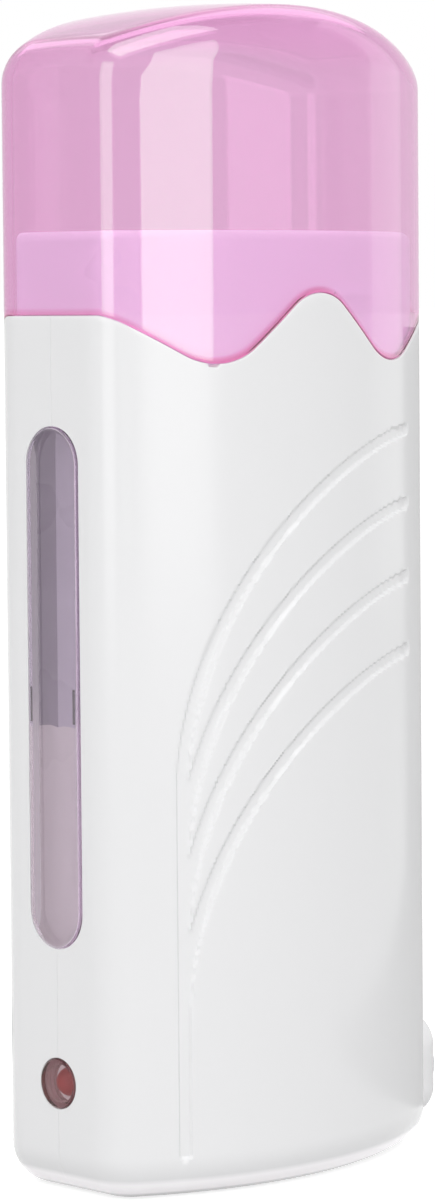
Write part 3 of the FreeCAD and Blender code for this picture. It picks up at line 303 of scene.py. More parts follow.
def clearPlastic(name, ior, roughness, code, density, peel=0.01, gloss=(1.0, 1.0, 1.0)):
    # clear moulded plastic: it bends light at each face, and the colour comes only from the depth of
    # material that the light crosses, so edges look deeper than walls
    m = surfaceMarks
    made, tree = newMaterial(name)
    where = addNode(tree, "ShaderNodeTexCoord")
    flow = addNode(tree, "ShaderNodeTexNoise", {"Scale": 1 / (m["clearWave"] * mm), "Detail": 2.0},
                   {"Vector": where.outputs["Object"]})
    bump = addNode(tree, "ShaderNodeBump", {"Strength": peel, "Distance": m["peelHeight"] * mm},
                   {"Height": flow.outputs["Fac"]})
    shader = addNode(tree, "ShaderNodeBsdfPrincipled",
                     {"Base Color": (1, 1, 1, 1), "IOR": ior, "Roughness": roughness,
                      "Transmission Weight": 1.0, "Specular Tint": (*gloss, 1.0)},
                     {"Normal": bump.outputs["Normal"]})
    # light reaches what is behind, and a ray that is caught between the faces gets out in the end
    rays = addNode(tree, "ShaderNodeLightPath")
    caught = addNode(tree, "ShaderNodeMath", {"operation": "GREATER_THAN", 1: rayLimits["glossy"]},
                     {0: rays.outputs["Glossy Depth"]})
    late = addNode(tree, "ShaderNodeMath", {"operation": "GREATER_THAN", 1: rayLimits["all"]},
                   {0: rays.outputs["Ray Depth"]})
    ends = addNode(tree, "ShaderNodeMath", {"operation": "MAXIMUM"},
                   {0: late.outputs[0], 1: caught.outputs[0]})
    passes = addNode(tree, "ShaderNodeMath", {"operation": "MAXIMUM"},
                     {0: rays.outputs["Is Shadow Ray"], 1: ends.outputs[0]})
    through = addNode(tree, "ShaderNodeBsdfTransparent")
    either = addNode(tree, "ShaderNodeMixShader", None,
                     {0: passes.outputs[0], 1: shader.outputs["BSDF"], 2: through.outputs["BSDF"]})
    depth = addNode(tree, "ShaderNodeVolumeAbsorption", {"Color": toLinear(code), "Density": density})
    inside = addNode(tree, "ShaderNodeMixShader", None,
                     {0: rays.outputs["Is Shadow Ray"], 1: depth.outputs["Volume"]})
    addNode(tree, "ShaderNodeOutputMaterial", None,
            {"Surface": either.outputs["Shader"], "Volume": inside.outputs["Shader"]})
    return made


def metal(name, code, roughness, brushed=0.0):
    # a worked metal: fine scratches along Z spread the gloss one way
    m = surfaceMarks
    made, tree = newMaterial(name)
    where = addNode(tree, "ShaderNodeTexCoord")
    fine, long = 1 / (m["scratchWidth"] * mm), 1 / (m["scratchLength"] * mm)
    stretch = addNode(tree, "ShaderNodeMapping", {"Scale": (fine, fine, long)},
                      {"Vector": where.outputs["Object"]})
    lines = addNode(tree, "ShaderNodeTexNoise", {"Scale": 1.0, "Detail": 3.0},
                    {"Vector": stretch.outputs["Vector"]})
    low, high = m["scratchSpread"]
    gloss = addNode(tree, "ShaderNodeMapRange", {"To Min": roughness * low, "To Max": roughness * high},
                    {"Value": lines.outputs["Fac"]})
    bump = addNode(tree, "ShaderNodeBump", {"Strength": brushed, "Distance": m["scratchHeight"] * mm},
                   {"Height": lines.outputs["Fac"]})
    shader = addNode(tree, "ShaderNodeBsdfPrincipled", {"Base Color": toLinear(code), "Metallic": 1.0},
                     {"Roughness": gloss.outputs["Result"], "Normal": bump.outputs["Normal"]})
    addNode(tree, "ShaderNodeOutputMaterial", None, {"Surface": shader.outputs["BSDF"]})
    return made


# the tube's tones are painted light and shade of the chamber: a shaded lilac grey, a lit stripe behind the
# window, paler low down, painted shade in the notch; the neck's glow is painted light
sleeveTones = {
    "neck": "#F0F0F6", "tube": "#8E8094", "litStripe": "#BDB3C3", "base": "#D6CCD0", "neckBottom": 126.8,
    "baseTop": 72.6, "stripeEdge": 5.15, "wander": 1.2, "wanderScale": 3.0, "neckPaintedGlow": 0.235,
    "paintedGlowTone": "#F3E7FF", "notch": "#4A3F48", "notchLow": (1.5, 73.1), "notchHigh": (2.2, 78.6),
    "roughness": 0.28, "ior": 1.49, "peel": 0.04,
}


def polypropyleneWithPaintedShade():
    # a white polypropylene moulding with painted light and shade. The neck is white and, seen through the
    # cover, has a painted glow; the tube is painted a shaded lilac grey, lighter in a stripe behind the
    # window where more light comes in, paler still below a line that wanders, with painted shade in the
    # witness notch
    t = sleeveTones
    made = mouldedPlastic("moulded_polypropylene_white_painted_shade", t["neck"], t["roughness"], t["ior"],
                          peel=t["peel"])
    tree = made.node_tree
    where = addNode(tree, "ShaderNodeTexCoord")
    parts = addNode(tree, "ShaderNodeSeparateXYZ", None, {"Vector": where.outputs["Object"]})
    wave = addNode(tree, "ShaderNodeTexNoise", {"Scale": 1 / (t["wanderScale"] * mm), "Detail": 1.0},
                   {"Vector": where.outputs["Object"]})
    level = addNode(tree, "ShaderNodeMath", {"operation": "MULTIPLY_ADD", 1: t["wander"] * mm},
                    {0: wave.outputs["Fac"], 2: parts.outputs["Z"]})

    # each region is 1 where its source stands past a limit. Shade is painted into the witness notch: its
    # walls get a box of deep tone between two limits along Y and two along Z
    across, height = parts.outputs["Y"], parts.outputs["Z"]
    limits = {
        "neck": (height, "GREATER_THAN", t["neckBottom"]), "tube": (across, "GREATER_THAN", t["stripeEdge"]),
        "base": (level.outputs[0], "LESS_THAN", t["baseTop"] + t["wander"] / 2),
        "notch": (across, "GREATER_THAN", t["notchLow"][0]), "back": (across, "LESS_THAN", t["notchHigh"][0]),
        "foot": (height, "GREATER_THAN", t["notchLow"][1]), "head": (height, "LESS_THAN", t["notchHigh"][1]),
    }
    region = {name: addNode(tree, "ShaderNodeMath", {"operation": operation, 1: limit * mm},
                            {0: source}).outputs[0] for name, (source, operation, limit) in limits.items()}
    for name in ("back", "foot", "head"):
        region["notch"] = addNode(tree, "ShaderNodeMath", {"operation": "MULTIPLY"},
                                  {0: region["notch"], 1: region[name]}).outputs[0]

    # the painted tones are laid over the lit stripe one after another
    layers = [addNode(tree, "ShaderNodeMix",
                      {"data_type": "RGBA", 6: toLinear(t["litStripe"]), 7: toLinear(t[name])},
                      {0: region[name]}) for name in ("tube", "base", "notch", "neck")]
    for below, above in zip(layers[:-1], layers[1:]):
        tree.links.new(below.outputs[2], above.inputs[6])
    shader = tree.nodes["Principled BSDF"]
    tree.links.new(layers[-1].outputs[2], shader.inputs["Base Color"])
    # a painted glow brightens the neck; only a ray that comes through the clear cover sees it
    rays = addNode(tree, "ShaderNodeLightPath")
    covered = addNode(tree, "ShaderNodeMath", {"operation": "MULTIPLY"},
                      {0: region["neck"], 1: rays.outputs["Is Transmission Ray"]})
    carried = addNode(tree, "ShaderNodeMath", {"operation": "MULTIPLY", 1: t["neckPaintedGlow"]},
                      {0: covered.outputs[0]})
    tree.links.new(carried.outputs[0], shader.inputs["Emission Strength"])
    shader.inputs["Emission Color"].default_value = toLinear(t["paintedGlowTone"])
    return made


def paintedInnerGlow(made, attribute, strength, code):
    # painted glow: the inside of the case's wall gives off a faint light of its own, so it is never dark
    tree = made.node_tree
    inner = addNode(tree, "ShaderNodeAttribute", {"attribute_name": attribute})
    carried = addNode(tree, "ShaderNodeMath", {"operation": "MULTIPLY", 1: strength},
                      {0: inner.outputs["Fac"]})
    shader = tree.nodes["Principled BSDF"]
    shader.inputs["Emission Color"].default_value = toLinear(code)
    tree.links.new(carried.outputs[0], shader.inputs["Emission Strength"])


def paintedEdgeGlow(made, attribute, code):
    # painted light: near its lower edge the clear moulding is tinted to the full colour, standing in for
    # light that leaves by the edge
    tree = made.node_tree
    near = addNode(tree, "ShaderNodeAttribute", {"attribute_name": attribute})
    tint = addNode(tree, "ShaderNodeMix", {"data_type": "RGBA", 6: (1, 1, 1, 1), 7: toLinear(code)},
                   {0: near.outputs["Fac"]})
    tree.links.new(tint.outputs[2], tree.nodes["Principled BSDF"].inputs["Base Color"])


def neutralCrown(made, low, high):
    # the gloss that reads as white over the pink walls would read as green over the dark chamber, so
    # it turns neutral up the crown, through which the chamber is seen
    tree = made.node_tree
    where = addNode(tree, "ShaderNodeTexCoord")
    parts = addNode(tree, "ShaderNodeSeparateXYZ", None, {"Vector": where.outputs["Object"]})
    share = addNode(tree, "ShaderNodeMapRange", {"From Min": low * mm, "From Max": high * mm},
                    {"Value": parts.outputs["Z"]})
    shader = tree.nodes["Principled BSDF"]
    own = tuple(shader.inputs["Specular Tint"].default_value)
    tint = addNode(tree, "ShaderNodeMix", {"data_type": "RGBA", 6: own, 7: (1, 1, 1, 1)},
                   {0: share.outputs["Result"]})
    tree.links.new(tint.outputs[2], shader.inputs["Specular Tint"])


# glossy white ABS from a polished mould: clean soft highlights
caseFinish = {"tone": "#EFEFF0", "roughness": 0.16, "paintedWallGlow": 0.2, "paintedWallTone": "#FFF7FC"}

whiteAbs = mouldedPlastic("glossy_moulded_abs_white", caseFinish["tone"], caseFinish["roughness"], 1.5)
# the inside of the case gets a painted glow
paintedInnerGlow(whiteAbs, "innerWall", caseFinish["paintedWallGlow"], caseFinish["paintedWallTone"])
sleevePolypropylene = polypropyleneWithPaintedShade()

# clear polystyrene, pale pink through a wall and deeper along an edge. Its gloss leans to the complement
# of the pink, past 1 in green: added to the pink behind it, it reads as white
coverFinish = {
    "roughness": 0.015, "absorption": "#D700BF", "density": 320.0, "gloss": (1.0, 1.8, 1.1),
    "paintedEdgeTone": "#F07CC0", "neutralFrom": 175.0, "neutralTo": 182.0,
}

pinkStyrene = clearPlastic("clear_moulded_styrene_pink", 1.59, coverFinish["roughness"],
                           coverFinish["absorption"], coverFinish["density"], gloss=coverFinish["gloss"])
# the lower edge gets a painted glow of full pink
paintedEdgeGlow(pinkStyrene, "nearEdge", coverFinish["paintedEdgeTone"])
neutralCrown(pinkStyrene, coverFinish["neutralFrom"], coverFinish["neutralTo"])

# nearly colourless window; the lamp's lens is smoked, so the dark lamp behind it stays a dull red
windowPolycarbonate = clearPlastic("clear_moulded_polycarbonate", 1.585, 0.02, "#A000AA", 40.0)
lampPolycarbonate = clearPlastic("clear_moulded_polycarbonate_smoked", 1.585, 0.06, "#950038", 560.0,
                                 gloss=(0.9, 0.5, 0.5))

# cast epoxy of the lamp: an even deep red with a soft sheen
redEpoxy = mouldedPlastic("cast_epoxy_red", "#C41A1C", 0.3, 1.53, peel=0.01, mottle=0.02)
print("materials of the case, sleeve, cover, window and lamp done")

shellSize = {
    "edgeRounding": 0.06, "edgeShare": 0.3, "edgeStart": 1.5,
    "rowStep": 0.38, "columnStep": 0.38, "sideStep": 0.65,
    "patternLeft": -27.2, "patternRight": 26.4, "wallTop": 124.0, "capRows": 4, "baseRows": 10,
    "rimRows": 14, "windowRows": 12, "lampRows": 9, "socketRows": 6, "innerStep": 9,
    # openings: level of the centre, half the height, radius of the round ends
    "window": (79.3, 40.7, 6.0), "lamp": (17.5, 4.05, 4.05), "socket": (11.4, 5.1, 5.1),
    "socketStraight": 3.8, "squeeze": 12.0,
}

grooveSize = {
    "width": 1.8, "depth": 0.45, "slope": 0.28, "trunkX": -25.5, "trunkBottom": 7.4,
    "radius": 55.5, "base": 27.3, "pitch": 11.87, "endX": 24.5, "count": 4,
}


def grooveDepth(x, z):
    # how far the pattern is sunk at a point: the nearest of a straight trunk and four quarter arcs that
    # branch from it gives the distance, and a smooth step across the groove's wall gives the depth
    g = grooveSize
    centreX = g["radius"] + g["trunkX"]
    trunkTop = g["base"] + g["pitch"] * (g["count"] - 1)
    nearest = np.hypot(x - g["trunkX"], z - np.clip(z, g["trunkBottom"], trunkTop))
    for number in range(g["count"]):
        level = g["base"] + g["pitch"] * number
        rise = math.sqrt(g["radius"] ** 2 - (g["endX"] - centreX) ** 2)
        onArc = (z >= level) & (x <= g["endX"])
        arc = np.abs(np.hypot(x - centreX, z - level) - g["radius"])
        tip = np.hypot(x - g["endX"], z - level - rise)
        nearest = np.minimum(nearest, np.where(onArc, arc, tip))
    share = np.clip((g["width"] / 2 + g["slope"] / 2 - nearest) / g["slope"], 0, 1)
    return g["depth"] * share * share * (3 - 2 * share)


def slotHalf(z, centre, half, radius, least):
    # half the width of a round-ended opening at height z
    past = np.maximum(np.abs(z - centre) - (half - radius), 0)
    return np.maximum(np.sqrt(np.maximum(radius ** 2 - past ** 2, 0)), least)


def tipRows(centre, half, radius, count):
    # heights at even angles round both ends of a round-ended opening
    angle = np.linspace(0, math.pi / 2, count + 1)
    rise = half - radius + radius * np.sin(angle)
    return np.concatenate([centre - rise, centre + rise])


def wallHeights(low, high, step, special):
    # even rows, without those that stand close to a row that an opening needs
    special = np.unique(np.round(special, 4))
    special = special[(special > low) & (special < high)]
    even = np.linspace(low, high, int((high - low) / step) + 1)
    clear = np.abs(even[:, None] - special[None, :]).min(1) > step / 3
    clear[[0, -1]] = True
    return np.unique(np.concatenate([even[clear], special]))


bossSize = {
    "halfWidth": 10.0, "halfHeight": 8.4, "corner": 5.0, "rounding": 1.8, "start": 33.2,
    "holeHalfWidth": 8.9, "holeEdge": 0.3, "roundingSteps": 8, "edgeSteps": 3,
}


def bossHalf(side, firstVertex):
    # half of the boss round the inlet: an outer and an inner loop, joined over the front face
    s = bossSize
    level, holeHalf, holeRadius = shellSize["socket"]
    end = shellHigh[0]
    outside = np.concatenate([[(0.0, s["start"])],
                              quarter((0.0, end - s["rounding"]), (s["rounding"], end),
                                      s["roundingSteps"], False)])
    inside = np.concatenate([quarter((-s["holeEdge"], end), (0.0, end - s["holeEdge"]), s["edgeSteps"]),
                             [(0.0, s["start"])]])
    outer = loopRows(outside, s["halfWidth"], s["halfHeight"], s["corner"], level, half=True)
    inner = loopRows(inside, s["holeHalfWidth"], holeHalf, holeRadius, level, half=True)
    rows = np.concatenate([outer, inner])
    rows[..., 1] *= -side
    index = tableIndex(rows, firstVertex)
    closed = np.concatenate([index, index[:1]])
    return rows.reshape(-1, 3), gridFaces(closed) + [index[:, 0].tolist(), index[:, -1].tolist()]


def shellHalf(name, side, node):
    # the front half of the case, mirrored for the rear. Rows climb from the middle of the base over the
    # base rounding and the wall to the wavy rim; columns run along the plan, squeezed beside openings
    s = shellSize
    seam = caseSize["seam"] / 2
    edgeSize = s["edgeRounding"]
    part = s["edgeShare"] * edgeSize
    length = casePlan["length"]
    stops = casePlan["stops"]
    bow = caseSize["bow"]
    middle = length / 2
    start = middle + bow * math.asin(s["patternLeft"] / bow)
    finish = middle + bow * math.asin(s["patternRight"] / bow)
    first = seam + s["edgeStart"] * edgeSize
    last = length - first

    # columns stand closer where the pattern is
    stations = [first, stops[1], start, finish, stops[4], last]
    spacing = [s["sideStep"], s["sideStep"], s["columnStep"], s["sideStep"], s["sideStep"]]
    u = evenSteps(stations, [max(2, round(gap / step)) for gap, step in zip(np.diff(stations), spacing)])
    edge = np.array([0, part, edgeSize])
    u = np.concatenate([seam + edge, u, length - seam - edge[::-1]])
    columnInset = np.concatenate([edge[::-1], np.zeros(len(u) - 6), edge])

    turn = np.linspace(0, math.pi / 2, s["baseRows"] + 1)[1:]
    cap = np.linspace(0, 1, s["capRows"] + 1)
    special = np.concatenate([tipRows(*s[name], s[name + "Rows"]) for name in ("window", "lamp", "socket")])
    wall = wallHeights(caseSize["baseRounding"], s["wallTop"], s["rowStep"], special)[1:]
    climb = np.linspace(0, 1, s["rimRows"] + 1)[1:]
    count = (len(cap), len(turn), len(wall), len(climb), 2)

    def column(*parts):
        # one value for each row: base, base rounding, wall, climb to the rim and rounded edge
        return np.concatenate([np.broadcast_to(p, n) for p, n in zip(parts, count)])[:, None]

    def profile(rounding, inset, floor):
        rowInset = column(inset + rounding, inset + rounding * (1 - np.sin(turn)), inset, inset,
                          [inset + part, inset + edgeSize] if inset == 0 else inset)
        rowLevel = column(floor, floor + rounding * (1 - np.cos(turn)), wall, s["wallTop"], s["wallTop"])
        return rowInset, rowLevel

    capShare = column(cap, 1, 1, 1, 1)
    climbShare = column(0, 0, 0, climb, 1)
    drop = column(0, 0, 0, np.where(climb == climb[-1], edgeSize, 0), [part, 0])

    def surface(columns, insets, rounding, inset, floor):
        rowInset, rowLevel = profile(rounding, inset, floor)
        left = np.maximum(slotHalf(rowLevel, *s["window"], seam), slotHalf(rowLevel, *s["lamp"], seam))
        atSocket = np.abs(rowLevel - s["socket"][0]) < s["socket"][1]
        right = np.where(atSocket & (capShare == 1) & (climbShare == 0),
                         s["socketStraight"] + slotHalf(rowLevel, *s["socket"], 0), seam)
        stretch = (s["squeeze"] - left) / (s["squeeze"] - seam)
        place = np.where(columns < s["squeeze"], left + (columns - seam) * stretch, columns)
        back = length - columns
        stretch = (s["squeeze"] - right) / (s["squeeze"] - seam)
        place = np.where(back < s["squeeze"], length - right - (back - seam) * stretch, place)
        base = planAt(casePlan, place)
        sunk = np.maximum(rowInset, insets)
        level = rowLevel + climbShare * (rimHeight(base[..., 0], side < 0) - rowLevel) - drop
        if inset == 0:
            groove = grooveDepth(base[..., 0], level) * (np.abs(base[..., 1]) > caseSize["corner"])
            sunk = sunk + groove * (rowInset == 0)
        spot = planAt(casePlan, place, sunk)
        reach = caseSize["width"] / 2 - rounding - inset
        middleLine = np.stack([np.broadcast_to((2 * columns / length - 1) * reach, spot.shape[:2]),
                               np.full(spot.shape[:2], -seam)], -1)
        spot = middleLine + capShare[..., None] * (spot - middleLine)
        spot[..., 1] *= -side
        return np.concatenate([spot, np.broadcast_to(level, spot.shape[:2])[..., None]], -1)

    outer = surface(u[None, :], columnInset[None, :], caseSize["baseRounding"], 0.0, 0.0)
    keep = np.unique(np.append(np.arange(0, len(u), s["innerStep"]), len(u) - 1))
    inner = surface(u[None, keep], 0.0, caseSize["baseRounding"] - caseSize["floor"], caseSize["wall"],
                    caseSize["floor"])
    outerIndex = tableIndex(outer)
    innerIndex = tableIndex(inner, outerIndex.size)
    faces = gridFaces(outerIndex) + gridFaces(innerIndex)
    for here in (0, -1):
        faces += gridFaces(np.stack([outerIndex[:, here], innerIndex[:, here]], 1))
        # one inner step spans several outer ones, so each closing face has many corners
        for k, (low, high) in enumerate(zip(keep[:-1], keep[1:])):
            faces.append(outerIndex[here, low:high + 1].tolist() + innerIndex[here, k:k + 2][::-1].tolist())
    boss, bossFaces = bossHalf(side, outerIndex.size + innerIndex.size)
    points = np.concatenate([outer.reshape(-1, 3), inner.reshape(-1, 3), boss])
    return makePiece(name, points, faces + bossFaces, whiteAbs, "case", node)


postSize = {
    "spots": ((-31.1, 124.2), (31.1, 124.2), (-15.0, 14.0), (15.0, 14.0)), "outer": 2.5, "head": 1.93,
    "shank": 1.15, "start": 0.05, "seat": 5.0, "drill": 1.97, "drillStart": 8.0, "drillEnd": 30.0,
    "steps": 48,
}


def midWall(x):
    # how far the middle of the rear wall stands from the seam at a given X: the bow, then the corner
    half = caseSize["wall"] / 2
    cornerX, cornerY = casePlan["centreX"][3], -casePlan["centreY"][3]
    past = np.maximum(np.abs(x) - cornerX, 0)
    bow = np.sqrt((caseSize["bow"] - half) ** 2 - x ** 2) - casePlan["centreY"][2]
    corner = cornerY + np.sqrt(np.maximum((caseSize["corner"] - half) ** 2 - past ** 2, 0))
    return np.where(np.abs(x) < (caseSize["bow"] - half) * math.sin(casePlan["lean"]), bow, corner)


def ringRows(spot, profile):
    # a profile of (radius, Y) turned about a screw's axis; a Y of None follows the middle of the wall
    turn = np.linspace(0, 2 * math.pi, postSize["steps"], endpoint=False)
    rows = []
    for radius, y in profile:
        x = spot[0] + radius * np.cos(turn)
        level = midWall(x) if y is None else np.full(len(turn), y)
        rows.append(np.stack([x, level, spot[1] + radius * np.sin(turn)], -1))
    return np.array(rows)


def addScrewHoles(shell):
    # the wall is drilled at each screw, and a post with a counterbore runs from the seam into the wall
    p = postSize
    points, faces = [], []
    for spot in p["spots"]:
        rows = ringRows(spot, [(p["drill"], p["drillStart"]), (p["drill"], p["drillEnd"])])
        index = tableIndex(rows, len(points))
        faces += gridFaces(closeColumns(index)) + [index[0].tolist()[::-1], index[1].tolist()]
        points += rows.reshape(-1, 3).tolist()
    cutter = addObject("drill", closedMesh("drill", points, faces))
    cutting = shell.modifiers.new("drill", "BOOLEAN")
    cutting.object, cutting.operation, cutting.solver = cutter, "DIFFERENCE", "EXACT"
    drilled = bpy.data.meshes.new_from_object(shell.evaluated_get(bpy.context.evaluated_depsgraph_get()))
    shell.modifiers.remove(cutting)
    bpy.data.objects.remove(cutter)
    work = bmesh.new()
    work.from_mesh(drilled)
    for spot in p["spots"]:
        rows = ringRows(spot, [(p["outer"], p["start"]), (p["outer"], None), (p["head"], None),
                               (p["head"], p["seat"]), (p["shank"], p["seat"]), (p["shank"], p["start"])])
        corners = [work.verts.new(point) for point in (rows.reshape(-1, 3) * mm).tolist()]
        index = tableIndex(rows)
        index = closeColumns(np.concatenate([index, index[:1]]))
        post = [work.faces.new([corners[i] for i in face]) for face in gridFaces(index)]
        bmesh.ops.recalc_face_normals(work, faces=post)
    work.to_mesh(drilled)
    work.free()
    smoothMesh(drilled, meshRules["sharp"])
    shell.data = drilled


def markInnerWall(piece):
    # 1 on the inside of the case below the rim, 0 outside
    x, y, z = pointPlaces(piece)
    sideX = (caseSize["width"] - caseSize["wall"]) / 2
    within = (np.abs(y) < midWall(np.clip(x, -sideX, sideX))) & (np.abs(x) < sideX)
    writeValues(piece, "innerWall", within & (z > caseSize["floor"] / 2) & (z < shellSize["wallTop"]))


frontShell = shellHalf("shell_front", -1, "front_shell")
rearShell = shellHalf("shell_rear", 1, "rear_shell")
addScrewHoles(rearShell)
markInnerWall(frontShell)
markInnerWall(rearShell)
print("shells:", len(frontShell.data.polygons), len(rearShell.data.polygons))

coverSize = {
    "wall": 1.5, "crownRadius": 83.0, "crownSideRadius": 195.0, "rounding": 7.6, "edgeRounding": 0.3,
    "edgeGlow": 1.1, "edgeRows": 6, "wallRows": 11, "roundingRows": 16, "crownRows": 25,
    "columns": (8, 12, 90, 12, 8), "edgeShares": (0.0, 0.3, 0.7), "glowFade": 0.7, "sharp": 50,
}


def crownHeight(x, y, inset):
    # the crowned top: an arc along X carried round a larger arc along Y
    c = coverSize
    small = c["crownRadius"] - inset
    along = c["crownSideRadius"] - c["crownRadius"] + np.sqrt(small ** 2 - x ** 2)
    return caseSize["height"] - c["crownSideRadius"] + np.sqrt(along ** 2 - y ** 2)


def crownNormal(x, y, inset):
    # straight out of the crown: the lean of the arc along X, then the turn round the larger arc
    c = coverSize
    ring = c["crownSideRadius"] - c["crownRadius"]
    small = c["crownRadius"] - inset
    lift = np.sqrt(small ** 2 - x ** 2)
    turn = np.arcsin(y / (ring + lift))
    return np.stack([x / small, lift / small * np.sin(turn), lift / small * np.cos(turn)], -1)


def coverSurface(u, inset, edge):
    # one face of the cover, from its wavy lower edge over the rounding to the middle of the crown. The
    # rounding is a ball that rolls along the plan under the crown, so both faces share its centres
    c = coverSize
    outerBall = c["rounding"]
    ownBall = outerBall - inset
    base = planAt(casePlan, u)
    flat = planAt(casePlan, u, inset)
    centre = planAt(casePlan, u, outerBall)
    outward = np.concatenate([(base - centre) / outerBall, np.zeros((len(u), 1))], 1)
    top = crownHeight(centre[:, 0], centre[:, 1], outerBall)
    ball = np.concatenate([centre, top[:, None]], 1)
    upward = crownNormal(centre[:, 0], centre[:, 1], outerBall)
    whole = np.arccos(np.clip((outward * upward).sum(1), -1, 1))
    rim = rimHeight(base[:, 0]) + rimSize["coverGap"]
    rows = []
    for share in c["edgeShares"]:
        turn = share * math.pi / 2
        moved = planAt(casePlan, u, inset + (1 - math.sin(turn)) * edge)
        rows.append(np.concatenate([moved, (rim + abs(edge) * (1 - math.cos(turn)))[:, None]], 1))
    low = rim + abs(edge)
    for share in np.linspace(0, 1, c["edgeRows"], endpoint=False):
        rows.append(np.concatenate([flat, (low + share * c["edgeGlow"])[:, None]], 1))
    for share in np.linspace(0, 1, c["wallRows"] + 1):
        start = low + c["edgeGlow"]
        rows.append(np.concatenate([flat, (start + share * (top - start))[:, None]], 1))
    for share in np.linspace(0, 1, c["roundingRows"] + 1)[1:]:
        mix = (np.sin((1 - share) * whole)[:, None] * outward + np.sin(share * whole)[:, None] * upward)
        rows.append(ball + ownBall * mix / np.sin(whole)[:, None])
    last = rows[-1][:, :2]
    for share in np.linspace(1, 0, c["crownRows"] + 1)[1:]:
        spot = last * share
        rows.append(np.concatenate([spot, crownHeight(spot[:, 0], spot[:, 1], inset)[:, None]], 1))
    return wholeLoop(np.array(rows))


def markLowerEdge(piece):
    # how near each point is to the wavy lower edge: 1 on it, fading out over the painted glow
    x, y, z = pointPlaces(piece)
    above = z - rimHeight(x) - rimSize["coverGap"]
    glow = np.clip(1 - above / coverSize["edgeGlow"], 0, 1) ** coverSize["glowFade"]
    writeValues(piece, "nearEdge", glow)


def makeCover():
    # the outer and the inner face share one table of rows, joined round the lower edge
    u = evenSteps(casePlan["stops"], coverSize["columns"])
    outer = coverSurface(u, 0.0, coverSize["edgeRounding"])
    inner = coverSurface(u, coverSize["wall"], -coverSize["edgeRounding"])
    index = tableIndex(outer)
    both = closeColumns(np.concatenate([index[::-1], index + index.size]))
    points = np.concatenate([outer.reshape(-1, 3), inner.reshape(-1, 3)])
    return makePiece("cover_clear", points, gridFaces(both), pinkStyrene, "lid", "cover",
                     coverSize["sharp"])


cover = makeCover()
markLowerEdge(cover)
print("cover:", len(cover.data.polygons))

windowSize = {
    "halfWidth": 5.9, "halfLength": 40.6, "proud": 0.3, "bevel": 0.8, "lip": 1.4,
    "lipStart": 2.35, "lipEnd": 3.55, "flat": 2.4, "bevelSteps": 8, "cornerSteps": 16, "sharp": 40,
}


def makeWindow():
    # a thick lens with a bevelled face and a lip behind the case, from the middle of its face round to
    # the middle of its back
    w = windowSize
    profile = np.concatenate([
        [(w["halfWidth"], 0.0), (w["flat"], 0.0)],
        quarter((w["bevel"], 0.0), (0.0, w["bevel"]), w["bevelSteps"]),
        [(0.0, w["lipStart"]), (-w["lip"], w["lipStart"]), (-w["lip"], w["lipEnd"]),
         (w["halfWidth"], w["lipEnd"])]])
    profile[:, 1] -= caseSize["width"] / 2 + w["proud"]
    rows = loopRows(profile, w["halfWidth"], w["halfLength"], w["halfWidth"], shellSize["window"][0],
                    steps=w["cornerSteps"])
    faces = gridFaces(closeColumns(tableIndex(rows)))
    return makePiece("sight_window_clear", rows, faces, windowPolycarbonate, "case", "sight_window",
                     w["sharp"])


window = makeWindow()
print("window:", len(window.data.polygons))

lampSize = {
    "radius": 3.95, "proud": 0.2, "skin": 1.0, "bore": 3.05, "lipRadius": 4.75,
    "lipStart": 2.25, "lipEnd": 3.25, "edge": 0.35, "flat": 1.8, "edgeSteps": 6, "sharp": 40,
}


def makeLens():
    # a shallow round cup: its flat face covers the lamp and its lip lies behind the case
    s = lampSize
    profile = np.concatenate([
        [(0.0, 0.0), (s["flat"], 0.0)],
        quarter((s["radius"] - s["edge"], 0.0), (s["radius"], s["edge"]), s["edgeSteps"]),
        [(s["radius"], s["lipStart"]), (s["lipRadius"], s["lipStart"]), (s["lipRadius"], s["lipEnd"]),
         (s["bore"], s["lipEnd"]), (s["bore"], s["skin"]), (0.0, s["skin"])]])
    profile[:, 1] -= caseSize["width"] / 2 + s["proud"]
    rows = turnedRows(profile, shellSize["lamp"][0])
    return makePiece("indicator_lens_clear", rows, gridFaces(closeColumns(tableIndex(rows))),
                     lampPolycarbonate, "case", "indicator_lens", s["sharp"])


lens = makeLens()
print("lamp lens:", len(lens.data.polygons))


def smoothCad():
    # loose triangles are welded, then shaded smooth but for their real edges
    group = bpy.data.node_groups.new("weld_and_smooth", "GeometryNodeTree")
    for way in ("INPUT", "OUTPUT"):
        group.interface.new_socket("Geometry", in_out=way, socket_type="NodeSocketGeometry")
    source = addNode(group, "NodeGroupInput")
    weld = addNode(group, "GeometryNodeMergeByDistance", {"Distance": meshRules["weld"]},
                   {"Geometry": source.outputs[0]})
    allSmooth = addNode(group, "GeometryNodeSetShadeSmooth", {"domain": "FACE", "Shade Smooth": True},
                        {"Geometry": weld.outputs[0]})
    angle = addNode(group, "GeometryNodeInputMeshEdgeAngle")
    soft = addNode(group, "FunctionNodeCompare",
                   {"operation": "LESS_THAN", 1: math.radians(meshRules["cadSharp"])},
                   {0: angle.outputs["Unsigned Angle"]})
    edges = addNode(group, "GeometryNodeSetShadeSmooth", {"domain": "EDGE"},
                    {"Geometry": allSmooth.outputs[0], "Shade Smooth": soft.outputs[0]})
    addNode(group, "NodeGroupOutput", None, {"Geometry": edges.outputs[0]})
    return group


weldAndSmooth = smoothCad()

